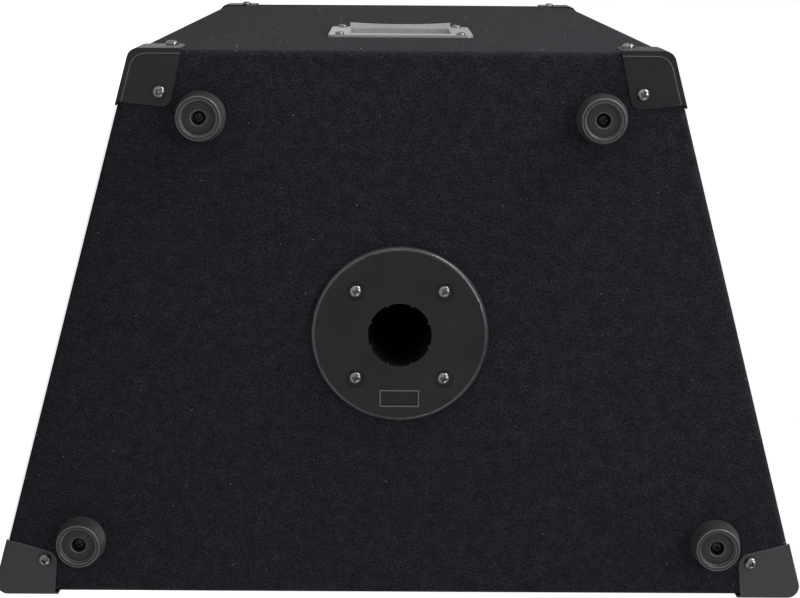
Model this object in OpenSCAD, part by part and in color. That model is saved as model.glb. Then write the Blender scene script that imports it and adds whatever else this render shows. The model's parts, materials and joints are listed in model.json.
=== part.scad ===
// Two-way stage monitor cabinet, lying on one of its slanted sides.
//
// Every piece is drawn in the cabinet's own frame, and in_place() lays it down:
// x runs from the foot end (-) to the plain end (+), y from the front edge (0)
// to the rear (box_depth), and z across the cabinet, with its middle at 0.

/* [Cabinet] */
// Length between the two ends, over the carpet
box_length = 665; // [640:5:820]
// Width across the front, over the carpet
front_width = 483; // [470:1:600]
// Depth from the front edge to the rear, over the carpet
box_depth = 324; // [300:1:420]
// Slope of each side
side_angle = 15; // [10:0.5:16]
// Radius of the long edges, over the carpet
edge_r = 8; // [5:1:12]
// Thickness of the plywood
board_t = 15; // [12:1:18]
// Thickness of the carpet
carpet_t = 3; // [2:0.5:4]
// Depth of the baffle's face behind the front edge
baffle_inset = 30; // [28:1:45]
// Thickness of the baffle
baffle_t = 18; // [15:1:22]
// Width of the square battens behind the baffle
batten_w = 20; // [15:1:22]

/* [Corner protectors] */
// Thickness of the moulding over the carpet
protector_t = 1; // [1:0.25:4]
// Outer radius over the cabinet's long edges
protector_r = 7; // [4:0.5:9]
// Length of the legs along the cabinet
protector_leg = 41; // [30:1:60]
// Width of the rear protectors across the rear face
protector_rear_w = 28; // [26:1:40]
// Reach of the rear protectors down the end and the side
protector_rear_h = 33; // [26:1:40]
// Width of the front protectors across the end
protector_front_w = 38; // [32:1:45]
// Reach of the front protectors down the end and the side
protector_front_h = 24.5; // [22:0.5:36]

/* [Pole socket] */
// Diameter of the stand pole that the socket takes
pole_d = 35; // [32:0.5:40]
// Play of the pole in the socket, across the diameter
pole_play = 0.5; // [0.2:0.1:1]
// Diameter of the socket's flange
socket_flange_d = 104; // [96:1:130]
// Height of the flange over the carpet
socket_flange_t = 4.5; // [3:0.5:6]
// Depth of the socket's tube below the carpet
socket_depth = 85; // [60:1:100]
// Depth of the ribbed mouth
socket_mouth_depth = 20; // [10:1:30]
// Width of the mouth beyond the pole's hole, on each side
socket_mouth_step = 1; // [0.6:0.1:2]
// Wall of the tube
socket_wall = 4; // [3:0.5:6]
// Distance between the screws of the flange, along each edge of their square
socket_screw_pitch = 51.6; // [50:0.2:70]
// Distance of the socket's axis from the front edge
socket_y = 159.5; // [130:0.5:200]

/* [Rubber feet] */
// Diameter of a foot at the carpet
foot_d = 30; // [24:1:36]
// Diameter of a foot at its tip
foot_tip_d = 25.6; // [20:0.2:30]
// Height of a foot
foot_h = 13.5; // [10:0.5:20]
// Distance of the front feet from the front edge
foot_front_y = 32.5; // [26:0.5:40]
// Distance of the rear feet from the rear face
foot_rear_gap = 38; // [34:1:50]
// Distance of the front feet from the slanted sides
foot_front_side = 43.5; // [38:0.5:60]
// Distance of the rear feet from the slanted sides
foot_rear_side = 49.5; // [44:0.5:60]

/* [Woofer] */
// Outer diameter of the woofer's frame
woofer_d = 388; // [380:1:392]
// Diameter of the voice coil's former, inside
coil_d = 75; // [60:1:80]
// Travel of the cone each way
cone_travel = 6; // [3:0.5:7]
// Gap between the woofer's frame and the lined end
woofer_margin = 5; // [3:1:20]

/* [Horn and ports] */
// Length of the horn's flange along the cabinet
horn_l = 140; // [130:1:150]
// Width of the horn's flange across the cabinet
horn_w = 260; // [220:1:300]
// Depth of the horn behind the baffle's face
horn_depth = 112; // [90:1:120]
// Gap between the horn's flange and the lined end
horn_margin = 10; // [6:1:30]
// Inside diameter of each port
port_d = 62; // [50:1:66]
// Length of each port behind the baffle's face
port_l = 100; // [70:1:110]

/* [Input plate] */
// Length of the plate along the cabinet
plate_l = 106; // [96:1:120]
// Width of the plate across the cabinet
plate_w = 93; // [90:1:110]
// Thickness of the plate
plate_t = 1.5; // [1:0.25:4]
// Length of the recess along the cabinet
dish_l = 64; // [60:1:74]
// Width of the recess across the cabinet
dish_w = 66; // [60:1:74]
// Depth of the recess
dish_depth = 34; // [30:1:40]
// Distance of the plate's middle from the foot end
plate_from_end = 192; // [180:1:230]
// Diameter of the plug that a socket takes
plug_d = 6.35; // [6.3:0.01:6.4]

/* [Handles] */
// Length of a handle's opening
handle_l = 160; // [120:1:180]
// Width of a handle's opening
handle_w = 88; // [76:1:96]
// Depth of a handle's cup
handle_depth = 62; // [50:1:66]
// Diameter of the grip
grip_d = 22; // [18:1:26]
// Distance of the handles from the cabinet's middle, along the cabinet
handle_x = -20; // [-60:1:60]

/* [Hidden] */
$fn = 64;

// Clearances
cut = 1;
screw_gap = 0.15;
part_gap = 0.5;
glue_gap = 0.3;

// Screws
head_r = 3.8;
head_h = 2.8;
shank_r = 2;
small_head_r = 3;
small_head_h = 2;
small_shank_r = 1.5;
blind_hole = 16;

// Cabinet
end_x = box_length / 2;
inner_x = end_x - carpet_t - board_t;
lined_x = inner_x - carpet_t;
inset = carpet_t + board_t;
baffle_back = baffle_inset + baffle_t;
rear_inner = box_depth - inset;
core_r = edge_r - carpet_t;

// Half the cabinet's width at depth y, with a layer of thickness in taken off
function half_w(y, in = 0) = front_width / 2 - y * tan(side_angle) - in / cos(side_angle);

// Middle of the rounding of radius r at a corner of the outline grown by out
function rear_corner(out, r) = let (y = box_depth + out - r) [y, half_w(y, r - out)];
function front_corner(out, r) = let (y = r - out) [y, half_w(y, r - out)];

// Place of the cabinet in the part's frame, from the box of the rounded protectors and the feet
far_corner = rear_corner(protector_t, protector_r);
near_corner = front_corner(protector_t, protector_r);
y_max = far_corner[0] * cos(side_angle) + far_corner[1] * sin(side_angle) + protector_r;
y_min = near_corner[0] * cos(side_angle) - near_corner[1] * sin(side_angle) - protector_r;
place = [
    (foot_h - protector_t - head_h) / 2,
    -(y_min + y_max) / 2,
    front_width / 2 * cos(side_angle) + protector_t
];

// Screws of the corner protectors: distances from the rear, the front edge and the sides
rear_screw_in = 24;
rear_screw_side = 22.5;
front_screw_in = 20.5;
front_screw_side = 25;
leg_screw_end = 10;
leg_screw_side = 21;

// Pole socket
pole_hole_r = (pole_d + pole_play) / 2;
mouth_r = pole_hole_r + socket_mouth_step;
socket_tube_r = mouth_r + socket_wall;
socket_floor_t = 3;
mouth_ribs = 8;
mouth_rib_w = 1.5;
rib_relief = 0.1;

// Feet, as [distance from the front edge, distance from the middle]
foot_rear_y = box_depth - foot_rear_gap;
foot_places = [
    [foot_front_y, half_w(foot_front_y) - foot_front_side],
    [foot_rear_y, half_w(foot_rear_y) - foot_rear_side]
];
foot_well_r = 4.25;
foot_floor_t = 4;
washer_t = 1;

// Input plate
plate_x = plate_from_end - end_x;
plate_screw_x = plate_l / 2 - 6.5;
plate_screw_z = plate_w / 2 - 7.5;
dish_wall = 2.5;
dish_lip = 3;
dish_low_x = 4;
jack_tilt = 45;
jack_pitch = 30;
jack_r = 9;
jack_l = 24;
bush_r = 4.7;
bush_l = 5;
nut_t = 3;
nut_d = 15;
plug_play = 0.15;

// Handles
handle_y = (baffle_back + rear_inner) / 2 + 20;
handle_flange_t = 1.8;
handle_border = 15;
handle_wall = 2.5;
handle_r = 14;
grip_below = 16;

// Grille
grille_t = 1.5;
grille_front = 3;
grille_rim = 10;
grille_gap = 1.5;
spacer_r = 7;
spacer_edge = 16;
spacer_port_gap = 14;

// Woofer, with w = 0 at the baffle's face and w rising out of it
woofer_r = woofer_d / 2;
woofer_x = -lined_x + woofer_margin + woofer_r;
flange_t = 5;
flange_in = woofer_r - 25.2;
basket_r = woofer_r - 18;
basket_wall = 4;
pot_r = 103;
pot_top = -74;
pot_floor = -90;
pot_floor_t = 3;
woofer_bolt_r = woofer_r - 8;
former_in = coil_d / 2;
former_t = 0.8;
coil_t = 0.6;
former_out = former_in + former_t;
coil_out = former_out + coil_t;
gap_play = 0.6;
pole_piece_r = former_in - gap_play;
top_plate_in = coil_out + gap_play;
top_plate_t = 8;
magnet_t = 22;
magnet_r = 78;
steel_r = 71;
top_plate_low = pot_floor - top_plate_t;
magnet_low = top_plate_low - magnet_t;
yoke_t = 8;
cone_t = 1.3;
rim_w = 7;
roll_r = 10;
roll_t = 1;
roll_mid = flange_in - roll_r - glue_gap;
cone_r = roll_mid - roll_r + roll_t;
rim_top = -1.8;
neck_w = -60;
cap_r = 58;
cap_ball_r = 75;
cap_t = 0.9;
spider_w = -72;
spider_t = 0.8;
spider_r = 97;

// Horn and ports
horn_x = lined_x - horn_margin - horn_l / 2;
horn_wall = 3;
horn_flange_t = 4;
horn_border = 12;
throat_r = 12.7;
throat_plate_t = 6;
throat_plate_r = 32;
driver_r = 45;
driver_l = 34;
driver_cap_l = 13;
port_wall = 3;
port_flange_r = port_d / 2 + 9;
port_flange_t = 3;
port_x = horn_x - horn_l / 2 - 4 - port_flange_r;
port_z = half_w(baffle_inset, inset + carpet_t) - 30 - port_flange_r;

// Crossover
crossover_l = 140;
crossover_w = 90;
crossover_t = 1.6;
crossover_x = plate_x + plate_l / 2 + 40 + crossover_l / 2;
spacer_h = 8;
crossover_y = rear_inner - spacer_h;
crossover_hole = 6;

// ---------------------------------------------------------------- helpers

// Lays a piece of the cabinet down in the part's frame
module in_place() {
    translate(place)
        rotate([-side_angle, 0, 0])
            children();
}

// Frames on the cabinet's faces: local z points out of the face
module on_end(y, z) {
    translate([-end_x, y, z])
        rotate([0, -90, 0])
            children();
}

module on_baffle(x, z) {
    translate([x, baffle_inset, z])
        rotate([90, 0, 0])
            children();
}

module on_rear(x, z) {
    translate([x, box_depth, z])
        rotate([-90, 0, 0])
            children();
}

module on_side(x, y) {
    translate([x, y, half_w(y)])
        rotate([-side_angle, 0, 0])
            children();
}

module both_sides() {
    children();
    mirror([0, 0, 1])
        children();
}

module both_ends() {
    children();
    mirror([1, 0, 0])
        children();
}

// Prism along the cabinet from an outline given as [depth, across]
module along(x0, x1) {
    translate([x0, 0, 0])
        rotate([0, 90, 0])
            rotate([0, 0, 90])
                linear_extrude(x1 - x0)
                    children();
}

// Cross-section of the cabinet grown by out, with its corners rounded to r
module outline(out, r) {
    rear = rear_corner(out, r);
    front = front_corner(out, r);
    slope = [r * sin(side_angle), r * cos(side_angle)];
    for (side = [-1, 1]) {
        translate([rear[0], side * rear[1]])
            circle(r);
        translate([front[0], side * front[1]])
            circle(r);
    }
    polygon([
        [front[0] - r, -front[1]],
        [front[0] - r, front[1]],
        front + slope,
        rear + slope,
        [rear[0] + r, rear[1]],
        [rear[0] + r, -rear[1]],
        [rear[0] + slope[0], -rear[1] - slope[1]],
        [front[0] + slope[0], -front[1] - slope[1]]
    ]);
}

// Cross-section between two depths, with a layer of thickness in taken off each side
module slice(y0, y1, in) {
    polygon([
        [y0, -half_w(y0, in)],
        [y0, half_w(y0, in)],
        [y1, half_w(y1, in)],
        [y1, -half_w(y1, in)]
    ]);
}

module rounded_rect(l, w, r) {
    square([l - 2 * r, w], center = true);
    square([l, w - 2 * r], center = true);
    for (x = [-1, 1], y = [-1, 1])
        translate([x * (l / 2 - r), y * (w / 2 - r)])
            circle(r);
}

// Quarter of the plane between two directions from a corner, which is rounded to r
module rounded_quarter(corner, from, to, r) {
    far = 200;
    half = (to - from) / 2;
    u = [cos(from), sin(from)];
    v = [cos(to), sin(to)];
    middle = corner + r / sin(half) * [cos(from + half), sin(from + half)];
    start = corner + r / tan(half) * u;
    end = corner + r / tan(half) * v;
    translate(middle)
        circle(r);
    polygon([start, start + far * u, start + far * (u + v), end + far * v, end, middle]);
}

module ring(r_in, r_out, h) {
    difference() {
        cylinder(r = r_out, h = h);
        translate([0, 0, -cut])
            cylinder(r = r_in, h = h + 2 * cut);
    }
}

// Pan-head cross-slot screw, with its seat at z = 0
module pan_screw(head_r, head_h, shank_r, shank_l) {
    ball_r = (head_r * head_r + head_h * head_h) / (2 * head_h);
    slot_w = head_r * 0.24;
    difference() {
        intersection() {
            translate([0, 0, head_h - ball_r])
                sphere(ball_r);
            cylinder(r = head_r, h = head_h + cut);
        }
        for (turn = [0, 90])
            rotate([0, 0, turn])
                translate([-head_r * 0.6, -slot_w / 2, head_h * 0.35])
                    cube([head_r * 1.2, slot_w, head_h]);
    }
    translate([0, 0, -shank_l])
        cylinder(r = shank_r, h = shank_l + head_h * 0.2);
}

module screw_hole(shank_r, depth) {
    translate([0, 0, -depth])
        cylinder(r = shank_r + screw_gap, h = depth + 20);
}

// ---------------------------------------------------------------- screw sizes and places

protector_screw_l = protector_t + carpet_t + 12;
socket_screw_l = socket_flange_t + carpet_t + 11;
plate_screw_l = plate_t + carpet_t + 11;
handle_screw_l = handle_flange_t + carpet_t + 11;
foot_screw_l = foot_floor_t + carpet_t + 12;
woofer_screw_l = flange_t + 14;
horn_screw_l = horn_flange_t + 13;
port_screw_l = port_flange_t + 13;

module at_socket_screws() {
    pitch = socket_screw_pitch / 2;
    for (y = [-1, 1], z = [-1, 1])
        on_end(socket_y + y * pitch, z * pitch)
            children();
}

module at_feet() {
    for (p = foot_places)
        both_sides()
            on_end(p[0], p[1])
                children();
}

module at_rear_end_screws() {
    both_sides()
        on_end(box_depth - rear_screw_in, half_w(box_depth - rear_screw_in) - rear_screw_side)
            children();
}

module at_front_end_screws() {
    both_sides()
        on_end(front_screw_in, half_w(front_screw_in) - front_screw_side)
            children();
}

module at_rear_leg_screws() {
    both_sides()
        on_rear(-end_x + protector_leg - leg_screw_end, half_w(box_depth) - leg_screw_side)
            children();
}

module at_plate_screws() {
    for (x = [-1, 1], z = [-1, 1])
        on_rear(plate_x + x * plate_screw_x, z * plate_screw_z)
            children();
}

module at_handle_screws() {
    for (x = [-1, 1], y = [-1, 1])
        both_sides()
            on_side(handle_x, handle_y)
                translate([x * (handle_l / 2 + 7), y * (handle_w / 2 + 7), 0])
                    children();
}

module at_grille_spacers() {
    x_out = lined_x - spacer_edge;
    z_out = half_w(baffle_inset, inset + carpet_t) - spacer_edge;
    x_mid = port_x - port_flange_r - spacer_port_gap;
    for (x = [-x_out, x_mid, x_out], z = [-z_out, z_out])
        on_baffle(x, z)
            children();
}

module at_woofer() {
    on_baffle(woofer_x, 0)
        children();
}

module at_woofer_screws() {
    at_woofer()
        for (i = [0 : 7])
            rotate([0, 0, i * 45 + 22.5])
                translate([woofer_bolt_r, 0, 0])
                    children();
}

module at_horn() {
    on_baffle(horn_x, 0)
        children();
}

module at_horn_screws() {
    at_horn()
        for (x = [-1, 1], y = [-1, 0, 1])
            translate([x * (horn_l / 2 - 4.5), y * (horn_w / 2 - 4.5), 0])
                children();
}

module at_ports() {
    for (z = [-1, 1])
        on_baffle(port_x, z * port_z)
            children();
}

module at_port_screws() {
    at_ports()
        for (i = [0 : 3])
            rotate([0, 0, i * 90 + 45])
                translate([port_flange_r - 4, 0, 0])
                    children();
}

// Frame on the inner face of the rear board: local z points into the cabinet
module at_crossover(y) {
    translate([crossover_x, y, 0])
        rotate([90, 0, 0])
            children();
}

module at_crossover_corners() {
    at_crossover(crossover_y)
        for (x = [-1, 1], y = [-1, 1])
            translate([
                x * (crossover_l / 2 - crossover_hole),
                y * (crossover_w / 2 - crossover_hole),
                0
            ])
                children();
}

// Frame of a jack: local z points out of the jack's inclined face
module at_jacks() {
    mid_x = (dish_low_x + dish_l / 2) / 2;
    for (z = [-1, 1])
        on_rear(plate_x, 0)
            translate([mid_x, z * jack_pitch / 2, jack_face(mid_x, 0)])
                rotate([0, -jack_tilt, 0])
                    children();
}

// ---------------------------------------------------------------- cabinet

module end_screw_holes() {
    at_socket_screws()
        screw_hole(shank_r, socket_screw_l);
    at_feet()
        screw_hole(shank_r, foot_screw_l);
    both_end_protector_holes();
}

module both_end_protector_holes() {
    both_ends() {
        at_rear_end_screws()
            screw_hole(shank_r, protector_screw_l);
        at_front_end_screws()
            screw_hole(shank_r, protector_screw_l);
    }
}

module rear_screw_holes() {
    both_ends()
        at_rear_leg_screws()
            screw_hole(shank_r, protector_screw_l);
    at_plate_screws()
        screw_hole(shank_r, plate_screw_l);
}

module socket_hole() {
    on_end(socket_y, 0)
        translate([0, 0, -inset - cut])
            cylinder(r = socket_tube_r + part_gap, h = inset + 2 * cut);
}

module dish_hole() {
    on_rear(plate_x, 0)
        translate([0, 0, -inset - cut])
            linear_extrude(inset + 2 * cut)
                square([
                    dish_l + 2 * (dish_wall + part_gap),
                    dish_w + 2 * (dish_wall + part_gap)
                ], center = true);
}

module handle_holes() {
    grow = 2 * (handle_wall + part_gap);
    both_sides()
        on_side(handle_x, handle_y)
            translate([0, 0, -inset - cut])
                linear_extrude(inset + 2 * cut)
                    rounded_rect(handle_l + grow, handle_w + grow, handle_r + grow / 2);
}

module carpet_cover() {
    color([0.12, 0.12, 0.13])
        in_place()
            difference() {
                along(-end_x, end_x)
                    outline(0, edge_r);
                along(-end_x + carpet_t, end_x - carpet_t)
                    outline(-carpet_t, core_r);
                along(-lined_x, lined_x)
                    slice(-cut, carpet_t + cut, inset + carpet_t);
                socket_hole();
                dish_hole();
                handle_holes();
                end_screw_holes();
                rear_screw_holes();
                at_handle_screws()
                    screw_hole(shank_r, handle_screw_l);
            }
    color([0.12, 0.12, 0.13])
        in_place()
            difference() {
                along(-inner_x, inner_x)
                    slice(carpet_t, baffle_inset, inset);
                along(-lined_x, lined_x)
                    slice(0, baffle_inset + cut, inset + carpet_t);
            }
}

module end_board(x0) {
    along(x0, x0 + board_t)
        outline(-carpet_t, core_r);
}

module end_board_feet() {
    color([0.72, 0.58, 0.4])
        in_place()
            difference() {
                end_board(-end_x + carpet_t);
                socket_hole();
                end_screw_holes();
            }
}

module end_board_plain() {
    color([0.72, 0.58, 0.4])
        in_place()
            difference() {
                end_board(end_x - carpet_t - board_t);
                both_end_protector_holes();
            }
}

// Slanted board on the side z > 0
module side_board() {
    difference() {
        along(-inner_x, inner_x)
            intersection() {
                outline(-carpet_t, core_r);
                polygon([
                    [0, half_w(0, inset)],
                    [0, half_w(0)],
                    [box_depth, half_w(box_depth)],
                    [box_depth, half_w(box_depth, inset)]
                ]);
            }
        handle_holes();
        at_handle_screws()
            screw_hole(shank_r, handle_screw_l);
    }
}

module side_board_top() {
    color([0.74, 0.6, 0.42])
        in_place()
            side_board();
}

module side_board_floor() {
    color([0.74, 0.6, 0.42])
        in_place()
            mirror([0, 0, 1])
                side_board();
}

module rear_board() {
    color([0.7, 0.56, 0.38])
        in_place()
            difference() {
                along(-inner_x, inner_x)
                    slice(rear_inner, box_depth - carpet_t, inset);
                dish_hole();
                rear_screw_holes();
                at_crossover_corners()
                    screw_hole(small_shank_r, spacer_h + 8);
            }
}

module baffle_board() {
    color([0.2, 0.2, 0.2])
        in_place()
            difference() {
                along(-inner_x, inner_x)
                    slice(baffle_inset, baffle_back, inset);
                at_woofer()
                    translate([0, 0, -baffle_t - cut])
                        cylinder(r = basket_r + part_gap, h = baffle_t + 2 * cut);
                at_horn()
                    translate([0, 0, -baffle_t - cut])
                        linear_extrude(baffle_t + 2 * cut)
                            square([
                                horn_l - 2 * (horn_border - horn_wall - part_gap),
                                horn_w - 2 * (horn_border - horn_wall - part_gap)
                            ], center = true);
                at_ports()
                    translate([0, 0, -baffle_t - cut])
                        cylinder(r = port_d / 2 + port_wall + part_gap, h = baffle_t + 2 * cut);
                at_woofer_screws()
                    screw_hole(shank_r, blind_hole);
                at_horn_screws()
                    screw_hole(shank_r, blind_hole);
                at_port_screws()
                    screw_hole(shank_r, blind_hole);
                at_grille_spacers()
                    screw_hole(shank_r, blind_hole);
            }
}

module baffle_battens() {
    y0 = baffle_back;
    y1 = baffle_back + batten_w;
    color([0.78, 0.65, 0.46])
        in_place() {
            both_sides()
                along(-inner_x, inner_x)
                    polygon([
                        [y0, half_w(y0, inset)],
                        [y1, half_w(y1, inset)],
                        [y1, half_w(y1, inset) - batten_w],
                        [y0, half_w(y1, inset) - batten_w]
                    ]);
            both_ends()
                along(inner_x - batten_w, inner_x)
                    square_between(y0, y1, half_w(y1, inset) - batten_w - part_gap);
        }
}

module square_between(y0, y1, half) {
    translate([y0, -half])
        square([y1 - y0, 2 * half]);
}

// ---------------------------------------------------------------- corner protectors

// Part of the protectors' shell at the foot end that a leg region keeps
module shell() {
    difference() {
        intersection() {
            along(-end_x - protector_t, -end_x + protector_leg)
                outline(protector_t, protector_r);
            children();
        }
        along(-end_x, -end_x + protector_leg + cut)
            outline(0, edge_r);
    }
}

module rear_protector() {
    reach = 20;
    end_corner = [box_depth - protector_rear_h, half_w(box_depth) - protector_rear_w + 6];
    difference() {
        shell()
            union() {
                along(-end_x - protector_t - cut, -end_x + cut)
                    rounded_quarter(end_corner, -12, 84, 6);
                // rear leg
                on_rear(-end_x, 0)
                    linear_extrude(reach)
                        rounded_quarter([protector_leg, protector_rear_w - half_w(box_depth)], 180, 270, 9);
                // side leg, and the bend between the two
                on_side(-end_x, box_depth) {
                    linear_extrude(reach)
                        side_leg();
                    translate([0, 0, -reach / 2])
                        linear_extrude(reach)
                            intersection() {
                                side_leg();
                                translate([0, -2 * protector_rear_h])
                                    square([2 * protector_leg, 4 * protector_rear_h]);
                            }
                }
            }
        at_rear_end_screws()
            screw_hole(shank_r, protector_screw_l);
        at_rear_leg_screws()
            screw_hole(shank_r, protector_screw_l);
    }
}

module side_leg() {
    rounded_quarter([protector_leg - 6, -protector_rear_h], 90, 180, 9);
}

module front_protector() {
    reach = 20;
    end_corner = [protector_front_h, half_w(0) - protector_front_w];
    rim = half_w(0, inset + carpet_t) + grille_gap + 1;
    difference() {
        shell()
            union() {
                along(-end_x - protector_t - cut, -end_x + cut)
                    rounded_quarter(end_corner, 90 - side_angle, 175, 7);
                // side leg
                on_side(-end_x, 0)
                    translate([0, 0, -reach / 2])
                        linear_extrude(reach)
                            rounded_quarter([protector_leg, protector_front_h], 180, 270, 9);
                // front leg, on the rim around the grille
                along(-end_x - protector_t - cut, -end_x + inset)
                    translate([-reach, end_corner[1]])
                        square([reach, protector_front_w + reach]);
                along(-end_x, -end_x + protector_leg)
                    translate([-reach, rim])
                        square([reach, protector_front_w + reach]);
            }
        at_front_end_screws()
            screw_hole(shank_r, protector_screw_l);
    }
}

module protectors_rear() {
    color([0.16, 0.16, 0.17])
        in_place()
            both_ends()
                both_sides()
                    rear_protector();
}

module protectors_front() {
    color([0.2, 0.2, 0.21])
        in_place()
            both_ends()
                both_sides()
                    front_protector();
}

module protector_screws() {
    color([0.8, 0.8, 0.78])
        in_place()
            both_ends() {
                at_rear_end_screws()
                    translate([0, 0, protector_t])
                        pan_screw(head_r, head_h, shank_r, protector_screw_l);
                at_front_end_screws()
                    translate([0, 0, protector_t])
                        pan_screw(head_r, head_h, shank_r, protector_screw_l);
                at_rear_leg_screws()
                    translate([0, 0, protector_t])
                        pan_screw(head_r, head_h, shank_r, protector_screw_l);
            }
}

// ---------------------------------------------------------------- pole socket

module socket_body() {
    edge = 3;
    r = socket_flange_d / 2;
    rotate_extrude($fn = 96) {
        difference() {
            union() {
                square([r, socket_flange_t - edge]);
                square([r - edge, socket_flange_t]);
                translate([r - edge, socket_flange_t - edge])
                    circle(edge);
            }
            translate([0, -edge])
                square([r + edge, edge]);
        }
        translate([0, -socket_depth])
            square([socket_tube_r, socket_depth + cut]);
    }
}

module pole_socket() {
    dimple = 1;
    label_y = 38;
    color([0.15, 0.15, 0.16])
        in_place()
            difference() {
                on_end(socket_y, 0)
                    difference() {
                        socket_body();
                        translate([0, 0, -socket_depth + socket_floor_t])
                            cylinder(r = pole_hole_r, h = socket_depth);
                        translate([0, 0, -socket_mouth_depth])
                            linear_extrude(socket_mouth_depth + 20)
                                mouth_shape();
                        translate([-11, -label_y - 4.5, socket_flange_t - 0.8])
                            cube([22, 9, 2]);
                    }
                at_socket_screws() {
                    translate([0, 0, socket_flange_t - dimple])
                        cylinder(r = head_r + 2, h = 20);
                    screw_hole(shank_r, socket_screw_l);
                }
            }
}

// Opening of the mouth, with its ribs left standing
module mouth_shape() {
    circle(pole_hole_r + rib_relief);
    difference() {
        circle(mouth_r);
        for (i = [0 : mouth_ribs - 1])
            rotate(360 / mouth_ribs * (i + 0.5))
                translate([0, -mouth_rib_w / 2])
                    square([2 * mouth_r, mouth_rib_w]);
    }
}

module pole_socket_screws() {
    dimple = 1;
    color([0.8, 0.8, 0.78])
        in_place()
            at_socket_screws()
                translate([0, 0, socket_flange_t - dimple])
                    pan_screw(head_r, head_h, shank_r, socket_screw_l - dimple);
}

// ---------------------------------------------------------------- feet

module rubber_foot() {
    rim_w = 2.4;
    tip_r = foot_tip_d / 2;
    well = 3;
    difference() {
        cylinder(r1 = foot_d / 2, r2 = tip_r, h = foot_h);
        translate([0, 0, foot_h - well])
            cylinder(r = tip_r - rim_w, h = foot_h);
        translate([0, 0, foot_floor_t])
            cylinder(r = foot_well_r, h = foot_h);
        screw_hole(shank_r, cut);
    }
}

module rubber_feet() {
    color([0.1, 0.1, 0.1])
        in_place()
            at_feet()
                rubber_foot();
}

module foot_washers() {
    color([0.7, 0.7, 0.68])
        in_place()
            at_feet()
                translate([0, 0, foot_floor_t])
                    ring(shank_r + screw_gap, foot_well_r - screw_gap, washer_t);
}

module foot_screws() {
    color([0.78, 0.78, 0.76])
        in_place()
            at_feet()
                translate([0, 0, foot_floor_t + washer_t])
                    pan_screw(head_r, head_h, shank_r, foot_screw_l);
}

// ---------------------------------------------------------------- input plate

dish_slope = (dish_depth - dish_lip) / (dish_low_x + dish_l / 2);

// Height of the ramp and of the jacks' face at x, for a wall of thickness t
function ramp(x, t) = -dish_lip - dish_slope * (x + dish_l / 2) - t * sqrt(1 + dish_slope * dish_slope);
function jack_face(x, t) = -dish_depth + (x - dish_low_x) * tan(jack_tilt) - t / cos(jack_tilt);

// Outline of the recess, grown by t, in the plane across the plate
module dish_profile(t, top) {
    half = dish_l / 2 + t;
    low_x = (jack_face(0, t) - ramp(0, t)) / (-dish_slope - tan(jack_tilt));
    polygon([
        [-half, top],
        [-half, ramp(-half, t)],
        [low_x, ramp(low_x, t)],
        [half, jack_face(half, t)],
        [half, top]
    ]);
}

module dish(t, top) {
    rotate([90, 0, 0])
        translate([0, 0, -dish_w / 2 - t])
            linear_extrude(dish_w + 2 * t)
                dish_profile(t, top);
}

module input_plate() {
    visor_w = 68;
    visor_top = plate_t + 3.8;
    foot = plate_t / 2;
    dip = 1.2;
    dip_r = (visor_w * visor_w / 4 + dip * dip) / (2 * dip);
    color([0.15, 0.15, 0.16])
        in_place()
            difference() {
                on_rear(plate_x, 0) {
                    linear_extrude(plate_t)
                        rounded_rect(plate_l, plate_w, 4);
                    dish(dish_wall, plate_t / 2);
                    // visor along the edge above the jacks
                    rotate([90, 0, 0])
                        translate([0, 0, -visor_w / 2])
                            linear_extrude(visor_w)
                                polygon([
                                    [dish_l / 2, foot],
                                    [dish_l / 2 + 1, visor_top],
                                    [dish_l / 2 + 3, visor_top],
                                    [dish_l / 2 + 6, foot]
                                ]);
                }
                on_rear(plate_x + dish_l / 2 - cut, 0)
                    translate([0, 0, visor_top - dip + dip_r])
                        rotate([0, 90, 0])
                            cylinder(r = dip_r, h = 10, $fn = 128);
                on_rear(plate_x, 0)
                    dish(0, 20);
                at_jacks()
                    translate([0, 0, -dish_wall - 20])
                        cylinder(r = bush_r + screw_gap, h = dish_wall + 21);
                at_plate_screws()
                    screw_hole(shank_r, plate_screw_l);
            }
}

module input_plate_screws() {
    color([0.8, 0.8, 0.78])
        in_place()
            at_plate_screws()
                translate([0, 0, plate_t])
                    pan_screw(small_head_r, small_head_h, shank_r, plate_screw_l);
}

module jack_sockets() {
    tags = 6;
    color([0.1, 0.1, 0.11])
        in_place()
            at_jacks()
                difference() {
                    union() {
                        translate([0, 0, -dish_wall - jack_l])
                            cylinder(r = jack_r, h = jack_l);
                        translate([0, 0, -dish_wall - cut])
                            cylinder(r = bush_r, h = dish_wall + cut + bush_l);
                        for (x = [-4, 4])
                            translate([x - 1.5, -0.5, -dish_wall - jack_l - tags])
                                cube([3, 1, tags + cut]);
                    }
                    translate([0, 0, -dish_wall - jack_l + 2])
                        cylinder(r = plug_d / 2 + plug_play / 2, h = jack_l + 20);
                }
}

module jack_nuts() {
    color([0.75, 0.75, 0.73])
        in_place()
            at_jacks()
                difference() {
                    cylinder(d = nut_d, h = nut_t, $fn = 6);
                    translate([0, 0, -cut])
                        cylinder(r = bush_r + screw_gap, h = nut_t + 2 * cut);
                }
}

// ---------------------------------------------------------------- handles

module handle_cups() {
    grow = 2 * handle_wall;
    border = 2 * handle_border;
    color([0.13, 0.13, 0.14])
        in_place()
            difference() {
                both_sides()
                    on_side(handle_x, handle_y)
                        difference() {
                            union() {
                                linear_extrude(handle_flange_t)
                                    rounded_rect(handle_l + border, handle_w + border, 10);
                                translate([0, 0, -handle_depth - handle_wall])
                                    linear_extrude(handle_depth + handle_wall + handle_flange_t / 2)
                                        rounded_rect(handle_l + grow, handle_w + grow, handle_r + handle_wall);
                            }
                            translate([0, 0, -handle_depth])
                                linear_extrude(handle_depth + 20)
                                    rounded_rect(handle_l, handle_w, handle_r);
                        }
                at_handle_screws()
                    screw_hole(shank_r, handle_screw_l);
            }
}

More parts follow.
